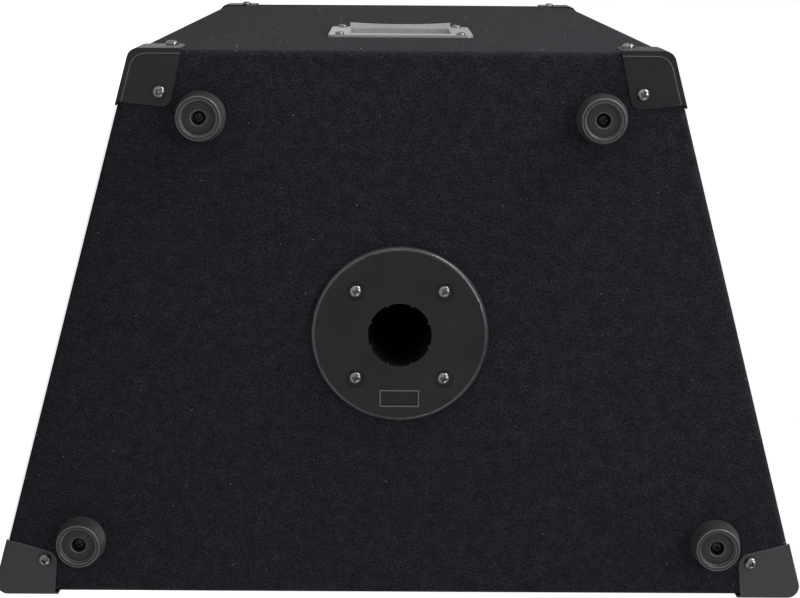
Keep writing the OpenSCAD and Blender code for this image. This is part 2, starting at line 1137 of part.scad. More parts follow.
module handle_grips() {
    color([0.08, 0.08, 0.08])
        in_place()
            both_sides()
                on_side(handle_x, handle_y)
                    translate([-handle_l / 2, 0, -grip_below])
                        rotate([0, 90, 0])
                            cylinder(d = grip_d, h = handle_l);
}

module handle_screws() {
    low_head = 0.6;
    color([0.12, 0.12, 0.12])
        in_place()
            at_handle_screws()
                translate([0, 0, handle_flange_t])
                    pan_screw(head_r, low_head, shank_r, handle_screw_l);
}

// ---------------------------------------------------------------- grille

module grille_slice(y0, y1, less) {
    polygon([
        [y0, -half_w(baffle_inset, inset + carpet_t) + less],
        [y0, half_w(baffle_inset, inset + carpet_t) - less],
        [y1, half_w(baffle_inset, inset + carpet_t) - less],
        [y1, -half_w(baffle_inset, inset + carpet_t) + less]
    ]);
}

module grille() {
    out = lined_x - grille_gap;
    color([0.18, 0.18, 0.19])
        in_place()
            difference() {
                along(-out, out)
                    grille_slice(grille_front, grille_front + grille_rim, grille_gap);
                along(-out + grille_t, out - grille_t)
                    grille_slice(grille_front + grille_t, grille_front + grille_rim + cut,
                        grille_gap + grille_t);
                at_grille_spacers()
                    cylinder(r = shank_r + screw_gap, h = baffle_inset);
            }
}

grille_back = baffle_inset - grille_front - grille_t;

module grille_spacers() {
    color([0.1, 0.1, 0.1])
        in_place()
            at_grille_spacers()
                ring(shank_r + screw_gap, spacer_r, grille_back);
}

module grille_screws() {
    color([0.2, 0.2, 0.2])
        in_place()
            at_grille_spacers()
                translate([0, 0, grille_back + grille_t])
                    pan_screw(head_r, 2.4, shank_r, grille_back + grille_t + 14);
}

// ---------------------------------------------------------------- woofer

module woofer_frame() {
    spider_low = spider_w - 3;
    spokes = 6;
    in_pot = pot_r - basket_wall;
    color([0.2, 0.2, 0.22])
        in_place()
            difference() {
                at_woofer()
                    difference() {
                        rotate_extrude($fn = 96) {
                            translate([flange_in, 0])
                                square([woofer_r - flange_in, flange_t]);
                            polygon([
                                [basket_r - basket_wall, 1],
                                [basket_r, 1],
                                [basket_r, -18],
                                [pot_r, pot_top],
                                [pot_r, pot_floor],
                                [top_plate_in + 2, pot_floor],
                                [top_plate_in + 2, pot_floor + pot_floor_t],
                                [in_pot, pot_floor + pot_floor_t],
                                [in_pot, spider_low],
                                [spider_r - 6, spider_low],
                                [spider_r - 6, spider_w],
                                [in_pot + 2, spider_w],
                                [basket_r - basket_wall, -16]
                            ]);
                        }
                        for (i = [0 : spokes - 1])
                            rotate([0, 0, i * 360 / spokes])
                                translate([pot_r + 6, -38, pot_top + 10])
                                    cube([basket_r - pot_r - 14, 76, -18 - pot_top - 14]);
                    }
                at_woofer_screws()
                    screw_hole(shank_r, blind_hole);
            }
}

module woofer_gasket() {
    color([0.09, 0.09, 0.09])
        in_place()
            at_woofer()
                translate([0, 0, flange_t + roll_t])
                    ring(flange_in + 1, woofer_bolt_r - head_r - 2, 4);
}

module woofer_surround() {
    lip_out = woofer_bolt_r - head_r - 2;
    low = 3;
    color([0.07, 0.07, 0.07])
        in_place()
            at_woofer()
                rotate_extrude($fn = 96) {
                    difference() {
                        translate([roll_mid, low])
                            circle(roll_r);
                        translate([roll_mid, low])
                            circle(roll_r - roll_t);
                        translate([roll_mid - 20, low - 40])
                            square([40, 40]);
                    }
                    translate([roll_mid + roll_r - roll_t, low - 0.1])
                        square([roll_t, flange_t + roll_t - low + 0.1]);
                    translate([roll_mid + roll_r - roll_t, flange_t])
                        square([lip_out - roll_mid - roll_r + roll_t, roll_t]);
                    translate([roll_mid - roll_r, rim_top + glue_gap])
                        square([roll_t, low - rim_top - glue_gap + 0.1]);
                    translate([cone_r - rim_w, rim_top + glue_gap])
                        square([roll_mid - roll_r - cone_r + rim_w + roll_t, roll_t]);
                }
}

module woofer_cone() {
    neck_r = former_out + 0.2;
    fold_r = cone_r - rim_w;
    color([0.1, 0.1, 0.11])
        in_place()
            at_woofer()
                rotate_extrude($fn = 96)
                    polygon([
                        [neck_r, neck_w - cone_t],
                        [fold_r + 0.6, rim_top - cone_t],
                        [cone_r, rim_top - cone_t],
                        [cone_r, rim_top],
                        [fold_r, rim_top],
                        [neck_r, neck_w]
                    ]);
}

// Height of the cone's upper face at radius r
function cone_face(r) =
    neck_w + (r - former_out - 0.2) * (rim_top - neck_w) / (cone_r - rim_w - former_out - 0.2);

module woofer_dust_cap() {
    mid = cone_face(cap_r) + 0.2 - sqrt(cap_ball_r * cap_ball_r - cap_r * cap_r);
    color([0.08, 0.08, 0.08])
        in_place()
            at_woofer()
                rotate_extrude($fn = 96)
                    intersection() {
                        difference() {
                            translate([0, mid])
                                circle(cap_ball_r);
                            translate([0, mid])
                                circle(cap_ball_r - cap_t);
                        }
                        translate([0, cone_face(cap_r) + 0.2])
                            square([cap_r + 5, 60]);
                    }
}

module woofer_voice_coil() {
    color([0.72, 0.45, 0.2])
        in_place()
            at_woofer() {
                translate([0, 0, top_plate_low - 10])
                    ring(former_in, former_out, neck_w + 2 - top_plate_low + 10);
                translate([0, 0, top_plate_low - 4])
                    ring(former_in + former_t / 2, coil_out, top_plate_t + 8);
            }
}

// Corrugated ring between the former and the frame
module woofer_spider() {
    waves = 5;
    steps = waves * 8;
    r0 = former_out + glue_gap;
    span = spider_r - 6 - r0;
    rise = 1.5;
    color([0.75, 0.55, 0.25])
        in_place()
            at_woofer()
                rotate_extrude($fn = 96)
                    polygon(concat(
                        [for (i = [0 : steps])
                            [r0 + span * i / steps, spider_w + rise * (1 - cos(360 * waves * i / steps))]],
                        [[spider_r, spider_w], [spider_r, spider_w + spider_t]],
                        [for (i = [steps : -1 : 0])
                            [r0 + span * i / steps,
                                spider_w + spider_t + rise * (1 - cos(360 * waves * i / steps))]]
                    ));
}

module woofer_top_plate() {
    color([0.55, 0.56, 0.58])
        in_place()
            at_woofer()
                translate([0, 0, top_plate_low])
                    ring(top_plate_in, steel_r, top_plate_t);
}

module woofer_magnet() {
    color([0.2, 0.2, 0.21])
        in_place()
            at_woofer()
                translate([0, 0, magnet_low])
                    ring(top_plate_in + 6, magnet_r, magnet_t);
}

module woofer_yoke() {
    vent_r = 10;
    color([0.55, 0.56, 0.58])
        in_place()
            at_woofer()
                difference() {
                    union() {
                        translate([0, 0, magnet_low - yoke_t])
                            cylinder(r = steel_r, h = yoke_t);
                        translate([0, 0, magnet_low - cut])
                            cylinder(r = pole_piece_r, h = magnet_t + top_plate_t + cut + 2);
                    }
                    translate([0, 0, magnet_low - yoke_t - cut])
                        cylinder(r = vent_r, h = magnet_t + top_plate_t + yoke_t + 10);
                }
}

module woofer_screws() {
    color([0.25, 0.25, 0.25])
        in_place()
            at_woofer_screws()
                translate([0, 0, flange_t])
                    pan_screw(head_r, head_h, shank_r, woofer_screw_l);
}

// ---------------------------------------------------------------- horn

// Horn of rectangular section, grown by t
module horn_solid(t, top, low) {
    mouth_x = horn_l / 2 - horn_border + t;
    mouth_z = horn_w / 2 - horn_border + t;
    mid = -horn_depth * 0.36;
    intersection() {
        rotate([90, 0, 0])
            translate([0, 0, -horn_w])
                linear_extrude(2 * horn_w)
                    horn_profile(mouth_x, horn_l * 0.25 + t, throat_r + t, mid, top, low);
        rotate([90, 0, 90])
            translate([0, 0, -horn_l])
                linear_extrude(2 * horn_l)
                    horn_profile(mouth_z, horn_w * 0.23 + t, throat_r + t, mid, top, low);
    }
}

module horn_profile(mouth, waist, throat, mid, top, low) {
    polygon([
        [-mouth, top], [-mouth, 0], [-waist, mid], [-throat, low],
        [throat, low], [waist, mid], [mouth, 0], [mouth, top]
    ]);
}

module horn_flare() {
    low = -horn_depth + throat_plate_t;
    color([0.12, 0.12, 0.13])
        in_place()
            difference() {
                at_horn()
                    difference() {
                        union() {
                            linear_extrude(horn_flange_t)
                                rounded_rect(horn_l, horn_w, 8);
                            horn_solid(horn_wall, horn_flange_t / 2, low);
                            translate([0, 0, -horn_depth])
                                cylinder(r = throat_plate_r, h = throat_plate_t);
                        }
                        horn_solid(0, 20, low);
                        translate([0, 0, -horn_depth - cut])
                            cylinder(r = throat_r, h = throat_plate_t + 2 * cut);
                    }
                at_horn_screws()
                    screw_hole(shank_r, blind_hole);
            }
}

module horn_screws() {
    color([0.25, 0.25, 0.25])
        in_place()
            at_horn_screws()
                translate([0, 0, horn_flange_t])
                    pan_screw(head_r, head_h, shank_r, horn_screw_l);
}

module horn_driver() {
    color([0.3, 0.3, 0.32])
        in_place()
            at_horn()
                translate([0, 0, -horn_depth - driver_l])
                    difference() {
                        cylinder(r = driver_r, h = driver_l);
                        translate([0, 0, -cut])
                            cylinder(r = throat_r, h = driver_l + 2 * cut);
                    }
}

// Thin dome over the throat's rear end
module horn_diaphragm() {
    dome_r = 24;
    ball_r = 40;
    mid = sqrt(ball_r * ball_r - dome_r * dome_r);
    color([0.75, 0.76, 0.78])
        in_place()
            at_horn()
                translate([0, 0, -horn_depth - driver_l])
                    rotate([180, 0, 0])
                        rotate_extrude() {
                            intersection() {
                                difference() {
                                    translate([0, -mid])
                                        circle(ball_r + 0.2);
                                    translate([0, -mid])
                                        circle(ball_r - 0.2);
                                }
                                square([dome_r, 20]);
                            }
                            translate([dome_r - 0.4, 0])
                                square([10, 0.4]);
                        }
}

module horn_cap() {
    wall = 3;
    color([0.1, 0.1, 0.1])
        in_place()
            at_horn()
                translate([0, 0, -horn_depth - driver_l - driver_cap_l])
                    difference() {
                        cylinder(r = driver_r - 2, h = driver_cap_l);
                        translate([0, 0, wall])
                            cylinder(r = driver_r - 2 - wall, h = driver_cap_l);
                    }
}

// ---------------------------------------------------------------- ports

module port_tubes() {
    color([0.1, 0.1, 0.11])
        in_place()
            difference() {
                at_ports()
                    difference() {
                        union() {
                            cylinder(r = port_flange_r, h = port_flange_t);
                            translate([0, 0, -port_l])
                                cylinder(r = port_d / 2 + port_wall, h = port_l + port_flange_t);
                        }
                        translate([0, 0, -port_l - cut])
                            cylinder(d = port_d, h = port_l + port_flange_t + 2 * cut);
                    }
                at_port_screws()
                    screw_hole(shank_r, blind_hole);
            }
}

module port_screws() {
    color([0.25, 0.25, 0.25])
        in_place()
            at_port_screws()
                translate([0, 0, port_flange_t])
                    pan_screw(small_head_r, small_head_h, shank_r, port_screw_l);
}

// ---------------------------------------------------------------- crossover

module crossover_board() {
    color([0.15, 0.35, 0.2])
        in_place()
            difference() {
                at_crossover(crossover_y)
                    translate([-crossover_l / 2, -crossover_w / 2, 0])
                        cube([crossover_l, crossover_w, crossover_t]);
                at_crossover_corners()
                    screw_hole(small_shank_r, spacer_h);
            }
}

module crossover_coils() {
    color([0.72, 0.42, 0.2])
        in_place()
            at_crossover(crossover_y)
                translate([0, 0, crossover_t]) {
                    translate([-38, 0, 0])
                        ring(10, 26, 22);
                    translate([8, 22, 0])
                        ring(6, 15, 14);
                }
}

module crossover_capacitors() {
    color([0.85, 0.75, 0.3])
        in_place()
            at_crossover(crossover_y)
                for (i = [0 : 2])
                    translate([30 + i * 15, -36, crossover_t + 6])
                        rotate([-90, 0, 0])
                            cylinder(r = 6, h = 32);
}

module crossover_resistors() {
    color([0.85, 0.85, 0.82])
        in_place()
            at_crossover(crossover_y)
                for (i = [0 : 1])
                    translate([30, 8 + i * 16, crossover_t])
                        cube([25, 10, 9]);
}

module crossover_spacers() {
    color([0.85, 0.85, 0.8])
        in_place()
            at_crossover_corners()
                translate([0, 0, -spacer_h])
                    ring(small_shank_r + screw_gap, 4, spacer_h);
}

module crossover_screws() {
    color([0.7, 0.7, 0.68])
        in_place()
            at_crossover_corners()
                translate([0, 0, crossover_t])
                    pan_screw(small_head_r, small_head_h, small_shank_r, spacer_h + crossover_t + 7);
}

// ---------------------------------------------------------------- wires and lining

// Smooth route through hand-picked points, with n steps from each to the next
function route(p, n) = [
    for (i = [0 : len(p) - 2], j = [0 : n - 1])
        let (
            a = p[max(i - 1, 0)],
            b = p[i],
            c = p[i + 1],
            d = p[min(i + 2, len(p) - 1)],
            t = j / n
        )
        0.5 * (2 * b + (c - a) * t + (2 * a - 5 * b + 4 * c - d) * t * t
            + (3 * b - a - 3 * c + d) * t * t * t),
    p[len(p) - 1]
];

function unit(v) = v / norm(v);

// Round wire of radius r along a route, as rings of straight sides
module wire(p, r) {
    sides = 8;
    last = len(p) - 1;
    rings = [
        for (i = [0 : last])
            let (
                ahead = unit(p[min(i + 1, last)] - p[max(i - 1, 0)]),
                side = unit(cross(ahead, [0.31, 0.17, 0.93])),
                up = cross(ahead, side)
            )
            for (k = [0 : sides - 1])
                p[i] + r * (cos(360 * k / sides) * side + sin(360 * k / sides) * up)
    ];
    skin = [
        for (i = [0 : last - 1], k = [0 : sides - 1])
            let (next = (k + 1) % sides)
            [i * sides + k, (i + 1) * sides + k, (i + 1) * sides + next, i * sides + next]
    ];
    ends = [
        [for (k = [0 : sides - 1]) k],
        [for (k = [sides - 1 : -1 : 0]) last * sides + k]
    ];
    polyhedron(rings, concat(skin, ends));
}

wire_r = 2;
board_face = crossover_y - crossover_t - wire_r - 0.4;

module wire_input() {
    start = [plate_x + 58, box_depth - 60, 0];
    color([0.7, 0.1, 0.1])
        in_place()
            wire(route([
                start,
                start + [20, -14, 0],
                [crossover_x - crossover_l / 2 - 12, board_face - 12, -10],
                [crossover_x - crossover_l / 2 + 2, board_face - 2, -26],
                [crossover_x - crossover_l / 2 + 16, board_face, -30]
            ], 6), wire_r);
}

module wire_woofer() {
    color([0.1, 0.1, 0.1])
        in_place()
            wire(route([
                [crossover_x - 10, board_face, -40],
                [crossover_x - 24, board_face - 20, -60],
                [crossover_x - 60, 200, -90],
                [woofer_x + 116, 150, -70],
                [woofer_x + pot_r + 12, 124, -20],
                [woofer_x + pot_r + wire_r + 0.5, 112, 0]
            ], 8), wire_r);
}

module wire_horn() {
    color([0.1, 0.1, 0.5])
        in_place()
            wire(route([
                [crossover_x + 60, board_face, 20],
                [crossover_x + 68, board_face - 24, 30],
                [horn_x - 40, 230, 30],
                [horn_x - 52, 180, 10],
                [horn_x - driver_r - wire_r - 0.5, 166, 0]
            ], 8), wire_r);
}

module damping_pad() {
    pad_t = 25;
    color([0.8, 0.8, 0.78])
        in_place()
            translate([inner_x - pad_t, rear_inner - 106, -100])
                cube([pad_t, 100, 200]);
}

carpet_cover();
end_board_feet();
end_board_plain();
side_board_floor();
side_board_top();
rear_board();
baffle_board();
baffle_battens();
protectors_front();
protectors_rear();
protector_screws();
pole_socket();
pole_socket_screws();
rubber_feet();
foot_washers();
foot_screws();
input_plate();
input_plate_screws();
jack_sockets();
jack_nuts();
handle_cups();
handle_grips();
handle_screws();
grille();
grille_spacers();
grille_screws();
woofer_frame();
woofer_gasket();
woofer_surround();
woofer_cone();
woofer_dust_cap();
woofer_voice_coil();
woofer_spider();
woofer_top_plate();
woofer_magnet();
woofer_yoke();
woofer_screws();
horn_flare();
horn_screws();
horn_driver();
horn_diaphragm();
horn_cap();
port_tubes();
port_screws();
crossover_board();
crossover_coils();
crossover_capacitors();
crossover_resistors();
crossover_spacers();
crossover_screws();
wire_input();
wire_woofer();
wire_horn();
damping_pad();
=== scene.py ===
import json
import math

import bmesh
import bpy
from mathutils import Matrix, Vector


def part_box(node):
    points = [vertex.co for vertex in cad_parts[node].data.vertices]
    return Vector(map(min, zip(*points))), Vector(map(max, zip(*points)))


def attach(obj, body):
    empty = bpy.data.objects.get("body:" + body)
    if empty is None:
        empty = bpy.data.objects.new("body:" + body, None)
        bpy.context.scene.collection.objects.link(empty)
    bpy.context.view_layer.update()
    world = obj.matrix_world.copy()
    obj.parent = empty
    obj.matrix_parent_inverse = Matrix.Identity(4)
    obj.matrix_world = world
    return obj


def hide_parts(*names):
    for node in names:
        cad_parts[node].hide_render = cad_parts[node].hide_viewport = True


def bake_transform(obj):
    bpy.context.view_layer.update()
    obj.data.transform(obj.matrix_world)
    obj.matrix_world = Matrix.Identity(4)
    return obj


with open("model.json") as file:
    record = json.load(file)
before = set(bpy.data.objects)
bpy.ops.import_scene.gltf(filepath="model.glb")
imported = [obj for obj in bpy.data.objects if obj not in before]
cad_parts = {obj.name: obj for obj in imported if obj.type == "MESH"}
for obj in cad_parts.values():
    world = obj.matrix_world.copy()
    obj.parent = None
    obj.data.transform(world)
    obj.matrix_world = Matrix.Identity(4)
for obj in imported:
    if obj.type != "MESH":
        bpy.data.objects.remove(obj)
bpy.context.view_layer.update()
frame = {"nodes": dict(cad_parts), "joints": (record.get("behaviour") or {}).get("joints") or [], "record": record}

# the cabinet's own frame: x along it, y from the front edge to the rear, z across

cabinet = {
    "frontWidth": 0.483,
    "depth": 0.324,
    "board": 0.015,
    "carpet": 0.003,
    "edge": 0.008,        # radius of the long edges
    "endEdge": 0.0045,    # radius where the carpet turns over an end
    "baffleInset": 0.030,
    "socketFromFront": 0.1595,
}

coneAxis = Vector(frame["joints"][0]["axis"])
sideAngle = math.atan2(coneAxis.z, -coneAxis.y)
carpetLow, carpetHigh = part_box("carpet_cover")
socketLow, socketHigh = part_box("pole_socket")
endX = (carpetHigh.x - carpetLow.x) / 2
tilt = Matrix.Rotation(-sideAngle, 4, "X")
socketCentre = (socketLow + socketHigh) / 2
place = Vector(((carpetLow.x + carpetHigh.x) / 2, socketCentre.y, socketCentre.z))
place -= tilt @ Vector((0, cabinet["socketFromFront"], 0))
toRow = Matrix.Translation(place) @ tilt
inset = cabinet["board"] + cabinet["carpet"]
linedX = endX - inset - cabinet["carpet"]


def halfWidth(y, off=0.0):
    return cabinet["frontWidth"] / 2 - y * math.tan(sideAngle) - off / math.cos(sideAngle)


def rowPoint(x, y, z):
    return toRow @ Vector((x, y, z))


def rowDirection(x, y, z):
    return (tilt @ Vector((x, y, z))).normalized()


def middleOf(points):
    return Vector([(min(p[i] for p in points) + max(p[i] for p in points)) / 2 for i in range(3)])


print("stage: frame read, cabinet", round(endX * 2, 3), "m long")

# small tools for shader nodes


def addNode(tree, kind, **values):
    made = tree.nodes.new(kind)
    for key, value in values.items():
        setattr(made, key, value)
    return made


def feed(tree, source, target):
    tree.links.new(source, target)


def texture(tree, coordinates, scale, detail=3.0, rough=0.55, kind="noise"):
    if kind == "noise":
        made = addNode(tree, "ShaderNodeTexNoise")
        made.inputs["Detail"].default_value = detail
        made.inputs["Roughness"].default_value = rough
    else:
        made = addNode(tree, "ShaderNodeTexVoronoi", feature=kind)
    made.inputs["Scale"].default_value = scale
    feed(tree, coordinates, made.inputs["Vector"])
    return made


def ramp(tree, source, low, high, dark=0.0, light=1.0):
    made = addNode(tree, "ShaderNodeMapRange")
    made.inputs["From Min"].default_value = low
    made.inputs["From Max"].default_value = high
    made.inputs["To Min"].default_value = dark
    made.inputs["To Max"].default_value = light
    feed(tree, source, made.inputs["Value"])
    return made.outputs["Result"]


def math2(tree, operation, first, second):
    made = addNode(tree, "ShaderNodeMath", operation=operation)
    for socket, value in zip(made.inputs, (first, second)):
        if isinstance(value, (int, float)):
            socket.default_value = value
        else:
            feed(tree, value, socket)
    return made.outputs[0]


def mixColour(tree, share, first, second):
    made = addNode(tree, "ShaderNodeMix", data_type="RGBA")
    for socket, value in zip((made.inputs[0], made.inputs[6], made.inputs[7]), (share, first, second)):
        if isinstance(value, (int, float)):
            socket.default_value = value
        elif isinstance(value, tuple):
            socket.default_value = value + (1,) if len(value) == 3 else value
        else:
            feed(tree, value, socket)
    return made.outputs[2]


# camera, floor and light

cameraSet = {
    "aside": -0.00567,      # from the socket's axis, across the cabinet
    "above": 0.2349,        # from the socket's axis, towards the rear
    "away": 1.1388,         # from the foot end
    "pitch": 0.186,
    "yaw": 0.005,
    "roll": -0.007,
    "lens": 89.33,
}


def makeCamera():
    data = bpy.data.cameras.new("viewCamera")
    data.lens = cameraSet["lens"]
    data.sensor_width = 36
    data.clip_start = 0.01
    data.clip_end = 50
    camera = bpy.data.objects.new("viewCamera", data)
    bpy.context.scene.collection.objects.link(camera)
    turned = (Matrix.Rotation(cameraSet["roll"], 3, "Z")
              @ Matrix.Rotation(cameraSet["pitch"], 3, "X")
              @ Matrix.Rotation(cameraSet["yaw"], 3, "Y")).transposed()
    faceToCabinet = Matrix(((0, 0, -1), (0, 1, 0), (1, 0, 0)))
    looking = tilt.to_3x3() @ faceToCabinet @ turned
    camera.matrix_world = Matrix.Translation(rowPoint(
        -endX - cameraSet["away"],
        cabinet["socketFromFront"] + cameraSet["above"],
        cameraSet["aside"],
    )) @ looking.to_4x4()
    bpy.context.scene.camera = camera


lightSet = {
    "room": 0.34,           # what the white room gives the cabinet
    "backdrop": 1.0,        # what the camera sees of it
    "floorGlow": (0.04, 0.82),     # for the cabinet, for the camera
}

softboxes = {               # power in watts, size and place from the cabinet's middle in metres
    "rear": (46, 1.3, (-0.5, 2.0, 0.9)),
    "key": (20, 1.0, (-1.9, 0.9, 1.5)),
    "fill": (9, 1.4, (-1.8, -1.2, 0.9)),
    "front": (12, 1.2, (0.8, -2.0, 1.2)),
}


def makeLight(name, power, size, spot, target):
    data = bpy.data.lights.new(name, "AREA")
    data.energy = power
    data.shape = "DISK"
    data.size = size
    light = bpy.data.objects.new(name, data)
    bpy.context.scene.collection.objects.link(light)
    light.location = spot
    light.rotation_mode = "QUATERNION"
    light.rotation_quaternion = (target - spot).to_track_quat("-Z", "Y")


def makeStage():
    world = bpy.data.worlds.new("whiteRoom")
    bpy.context.scene.world = world
    world.use_nodes = True
    background = world.node_tree.nodes["Background"]
    background.inputs[0].default_value = (1, 1, 1, 1)
    seen = ramp(world.node_tree, world.node_tree.nodes.new("ShaderNodeLightPath").outputs["Is Camera Ray"],
                0.0, 1.0, lightSet["room"], lightSet["backdrop"])
    world.node_tree.links.new(seen, background.inputs[1])
    bpy.context.scene.view_settings.view_transform = "Standard"
    bpy.ops.mesh.primitive_plane_add(size=60)
    floor = bpy.context.object
    floor.name = "floor"
    paint = bpy.data.materials.new("paleFloor")
    paint.use_nodes = True
    shader = paint.node_tree.nodes["Principled BSDF"]
    shader.inputs["Base Color"].default_value = (0.86, 0.86, 0.86, 1)
    shader.inputs["Roughness"].default_value = 0.9
    shader.inputs["Emission Color"].default_value = (1, 1, 1, 1)
    seen = ramp(paint.node_tree, paint.node_tree.nodes.new("ShaderNodeLightPath").outputs["Is Camera Ray"],
                0.0, 1.0, *lightSet["floorGlow"])
    paint.node_tree.links.new(seen, shader.inputs["Emission Strength"])
    floor.data.materials.append(paint)
    middle = rowPoint(0, cabinet["depth"] / 2, 0)
    for name, (power, size, offset) in softboxes.items():
        makeLight(name + "Softbox", power, size, middle + Vector(offset), middle)


makeCamera()
makeStage()
print("stage: camera, floor and light")

# effects that several finishes share


def newGroup(name, inputs, outputs):
    group = bpy.data.node_groups.new(name, "ShaderNodeTree")
    for label, kind, value in inputs:
        socket = group.interface.new_socket(label, in_out="INPUT", socket_type=kind)
        socket.default_value = value
    for label, kind in outputs:
        group.interface.new_socket(label, in_out="OUTPUT", socket_type=kind)
    return group, group.nodes.new("NodeGroupInput"), group.nodes.new("NodeGroupOutput")


def makeFeltGroup():
    # matted fibres: height, shade and the odd pale speck
    group, given, result = newGroup("mattedFelt", [
        ("Fibre size", "NodeSocketFloat", 0.0009),
        ("Clump size", "NodeSocketFloat", 0.006),
        ("Rib size", "NodeSocketFloat", 0.004),
    ], [("Height", "NodeSocketFloat"), ("Shade", "NodeSocketFloat"), ("Lint", "NodeSocketFloat")])
    spot = addNode(group, "ShaderNodeTexCoord").outputs["Object"]

    def scaled(size):
        grown = addNode(group, "ShaderNodeVectorMath", operation="SCALE")
        feed(group, spot, grown.inputs[0])
        feed(group, math2(group, "DIVIDE", 1.0, given.outputs[size]), grown.inputs["Scale"])
        return grown.outputs[0]

    fibres = texture(group, scaled("Fibre size"), 1.0, 4.0, 0.7)
    stretched = addNode(group, "ShaderNodeMapping")
    stretched.inputs["Scale"].default_value = (0.35, 1.0, 0.35)
    feed(group, scaled("Fibre size"), stretched.inputs["Vector"])
    strands = texture(group, stretched.outputs[0], 1.2, 2.0, 0.6)
    clumps = texture(group, scaled("Clump size"), 1.0, 3.0, 0.6)
    rows = texture(group, scaled("Rib size"), 1.0, 1.0, 0.5)
    height = math2(group, "ADD", math2(group, "MULTIPLY", fibres.outputs["Fac"], 0.6),
                   math2(group, "MULTIPLY", strands.outputs["Fac"], 0.5))
    height = math2(group, "ADD", height, math2(group, "MULTIPLY", clumps.outputs["Fac"], 0.5))
    feed(group, height, result.inputs["Height"])
    shade = math2(group, "MULTIPLY", ramp(group, fibres.outputs["Fac"], 0.35, 0.68),
                  ramp(group, clumps.outputs["Fac"], 0.3, 0.7, 0.55, 1.0))
    shade = math2(group, "MULTIPLY", shade, ramp(group, rows.outputs["Fac"], 0.35, 0.65, 0.8, 1.0))
    feed(group, shade, result.inputs["Shade"])
    specks = texture(group, scaled("Fibre size"), 0.30, kind="F1")
    picked = ramp(group, specks.outputs["Distance"], 0.10, 0.04)
    chosen = addNode(group, "ShaderNodeSeparateColor")
    feed(group, specks.outputs["Color"], chosen.inputs[0])
    rare = math2(group, "GREATER_THAN", chosen.outputs[0], 0.93)
    feed(group, math2(group, "MULTIPLY", picked, rare), result.inputs["Lint"])
    return group


def makeGrainGroup():
    # moulded grain: fine pits and a broad unevenness
    group, given, result = newGroup("mouldedGrain", [
        ("Grain size", "NodeSocketFloat", 0.0007),
        ("Patch size", "NodeSocketFloat", 0.02),
    ], [("Height", "NodeSocketFloat"), ("Patches", "NodeSocketFloat")])
    spot = addNode(group, "ShaderNodeTexCoord").outputs["Object"]
    found = []
    for size in ("Grain size", "Patch size"):
        grown = addNode(group, "ShaderNodeVectorMath", operation="SCALE")
        feed(group, spot, grown.inputs[0])
        feed(group, math2(group, "DIVIDE", 1.0, given.outputs[size]), grown.inputs["Scale"])
        found.append(grown.outputs[0])
    pits = texture(group, found[0], 1.0, kind="SMOOTH_F1")
    fine = texture(group, found[0], 1.7, 2.0)
    patches = texture(group, found[1], 1.0, 4.0, 0.6)
    height = math2(group, "ADD", pits.outputs["Distance"], math2(group, "MULTIPLY", fine.outputs["Fac"], 0.6))
    feed(group, height, result.inputs["Height"])
    feed(group, patches.outputs["Fac"], result.inputs["Patches"])
    return group


def makeDustGroup():
    # dust that lies in patches on what faces up
    group, given, result = newGroup("settledDust", [
        ("Amount", "NodeSocketFloat", 0.3),
        ("Cloud scale", "NodeSocketFloat", 28.0),
    ], [("Dust", "NodeSocketFloat")])
    about = addNode(group, "ShaderNodeNewGeometry")
    spot = addNode(group, "ShaderNodeTexCoord").outputs["Object"]
    facing = addNode(group, "ShaderNodeSeparateXYZ")
    feed(group, about.outputs["Normal"], facing.inputs[0])
    cloud = texture(group, spot, 28.0, 5.0, 0.65)
    feed(group, given.outputs["Cloud scale"], cloud.inputs["Scale"])
    settled = math2(group, "MULTIPLY", ramp(group, facing.outputs["Z"], 0.1, 0.9),
                    ramp(group, cloud.outputs["Fac"], 0.35, 0.7))
    feed(group, math2(group, "MULTIPLY", settled, given.outputs["Amount"]), result.inputs["Dust"])
    return group


feltGroup = makeFeltGroup()
grainGroup = makeGrainGroup()
dustGroup = makeDustGroup()


def useGroup(tree, group, **values):
    made = addNode(tree, "ShaderNodeGroup", node_tree=group)
    for key, value in values.items():
        made.inputs[key.replace("_", " ")].default_value = value
    return made


def newMaterial(name, **constants):
    made = bpy.data.materials.new(name)
    made.use_nodes = True
    shader = made.node_tree.nodes["Principled BSDF"]
    for key, value in constants.items():
        shader.inputs[key.replace("_", " ")].default_value = value
    return made, made.node_tree, shader


def bump(tree, shader, height, strength, distance):
    made = addNode(tree, "ShaderNodeBump")
    made.inputs["Strength"].default_value = strength
    made.inputs["Distance"].default_value = distance
    feed(tree, height, made.inputs["Height"])
    feed(tree, made.outputs[0], shader.inputs["Normal"])


def makeCarpetMaterial():
    made, tree, shader = newMaterial("blackFeltCarpet", Roughness=1.0, Sheen_Weight=0.03,
                                     Sheen_Roughness=0.5, Specular_IOR_Level=0.06)
    felt = useGroup(tree, feltGroup, Fibre_size=0.0011, Clump_size=0.007, Rib_size=0.003)
    settled = useGroup(tree, dustGroup, Amount=0.06)
    colour = mixColour(tree, felt.outputs["Shade"], (0.0030, 0.0030, 0.0046), (0.030, 0.030, 0.037))
    colour = mixColour(tree, settled.outputs["Dust"], colour, (0.10, 0.10, 0.10))
    colour = mixColour(tree, felt.outputs["Lint"], colour, (0.45, 0.45, 0.46))
    feed(tree, colour, shader.inputs["Base Color"])
    bump(tree, shader, felt.outputs["Height"], 0.9, 0.0009)
    return made


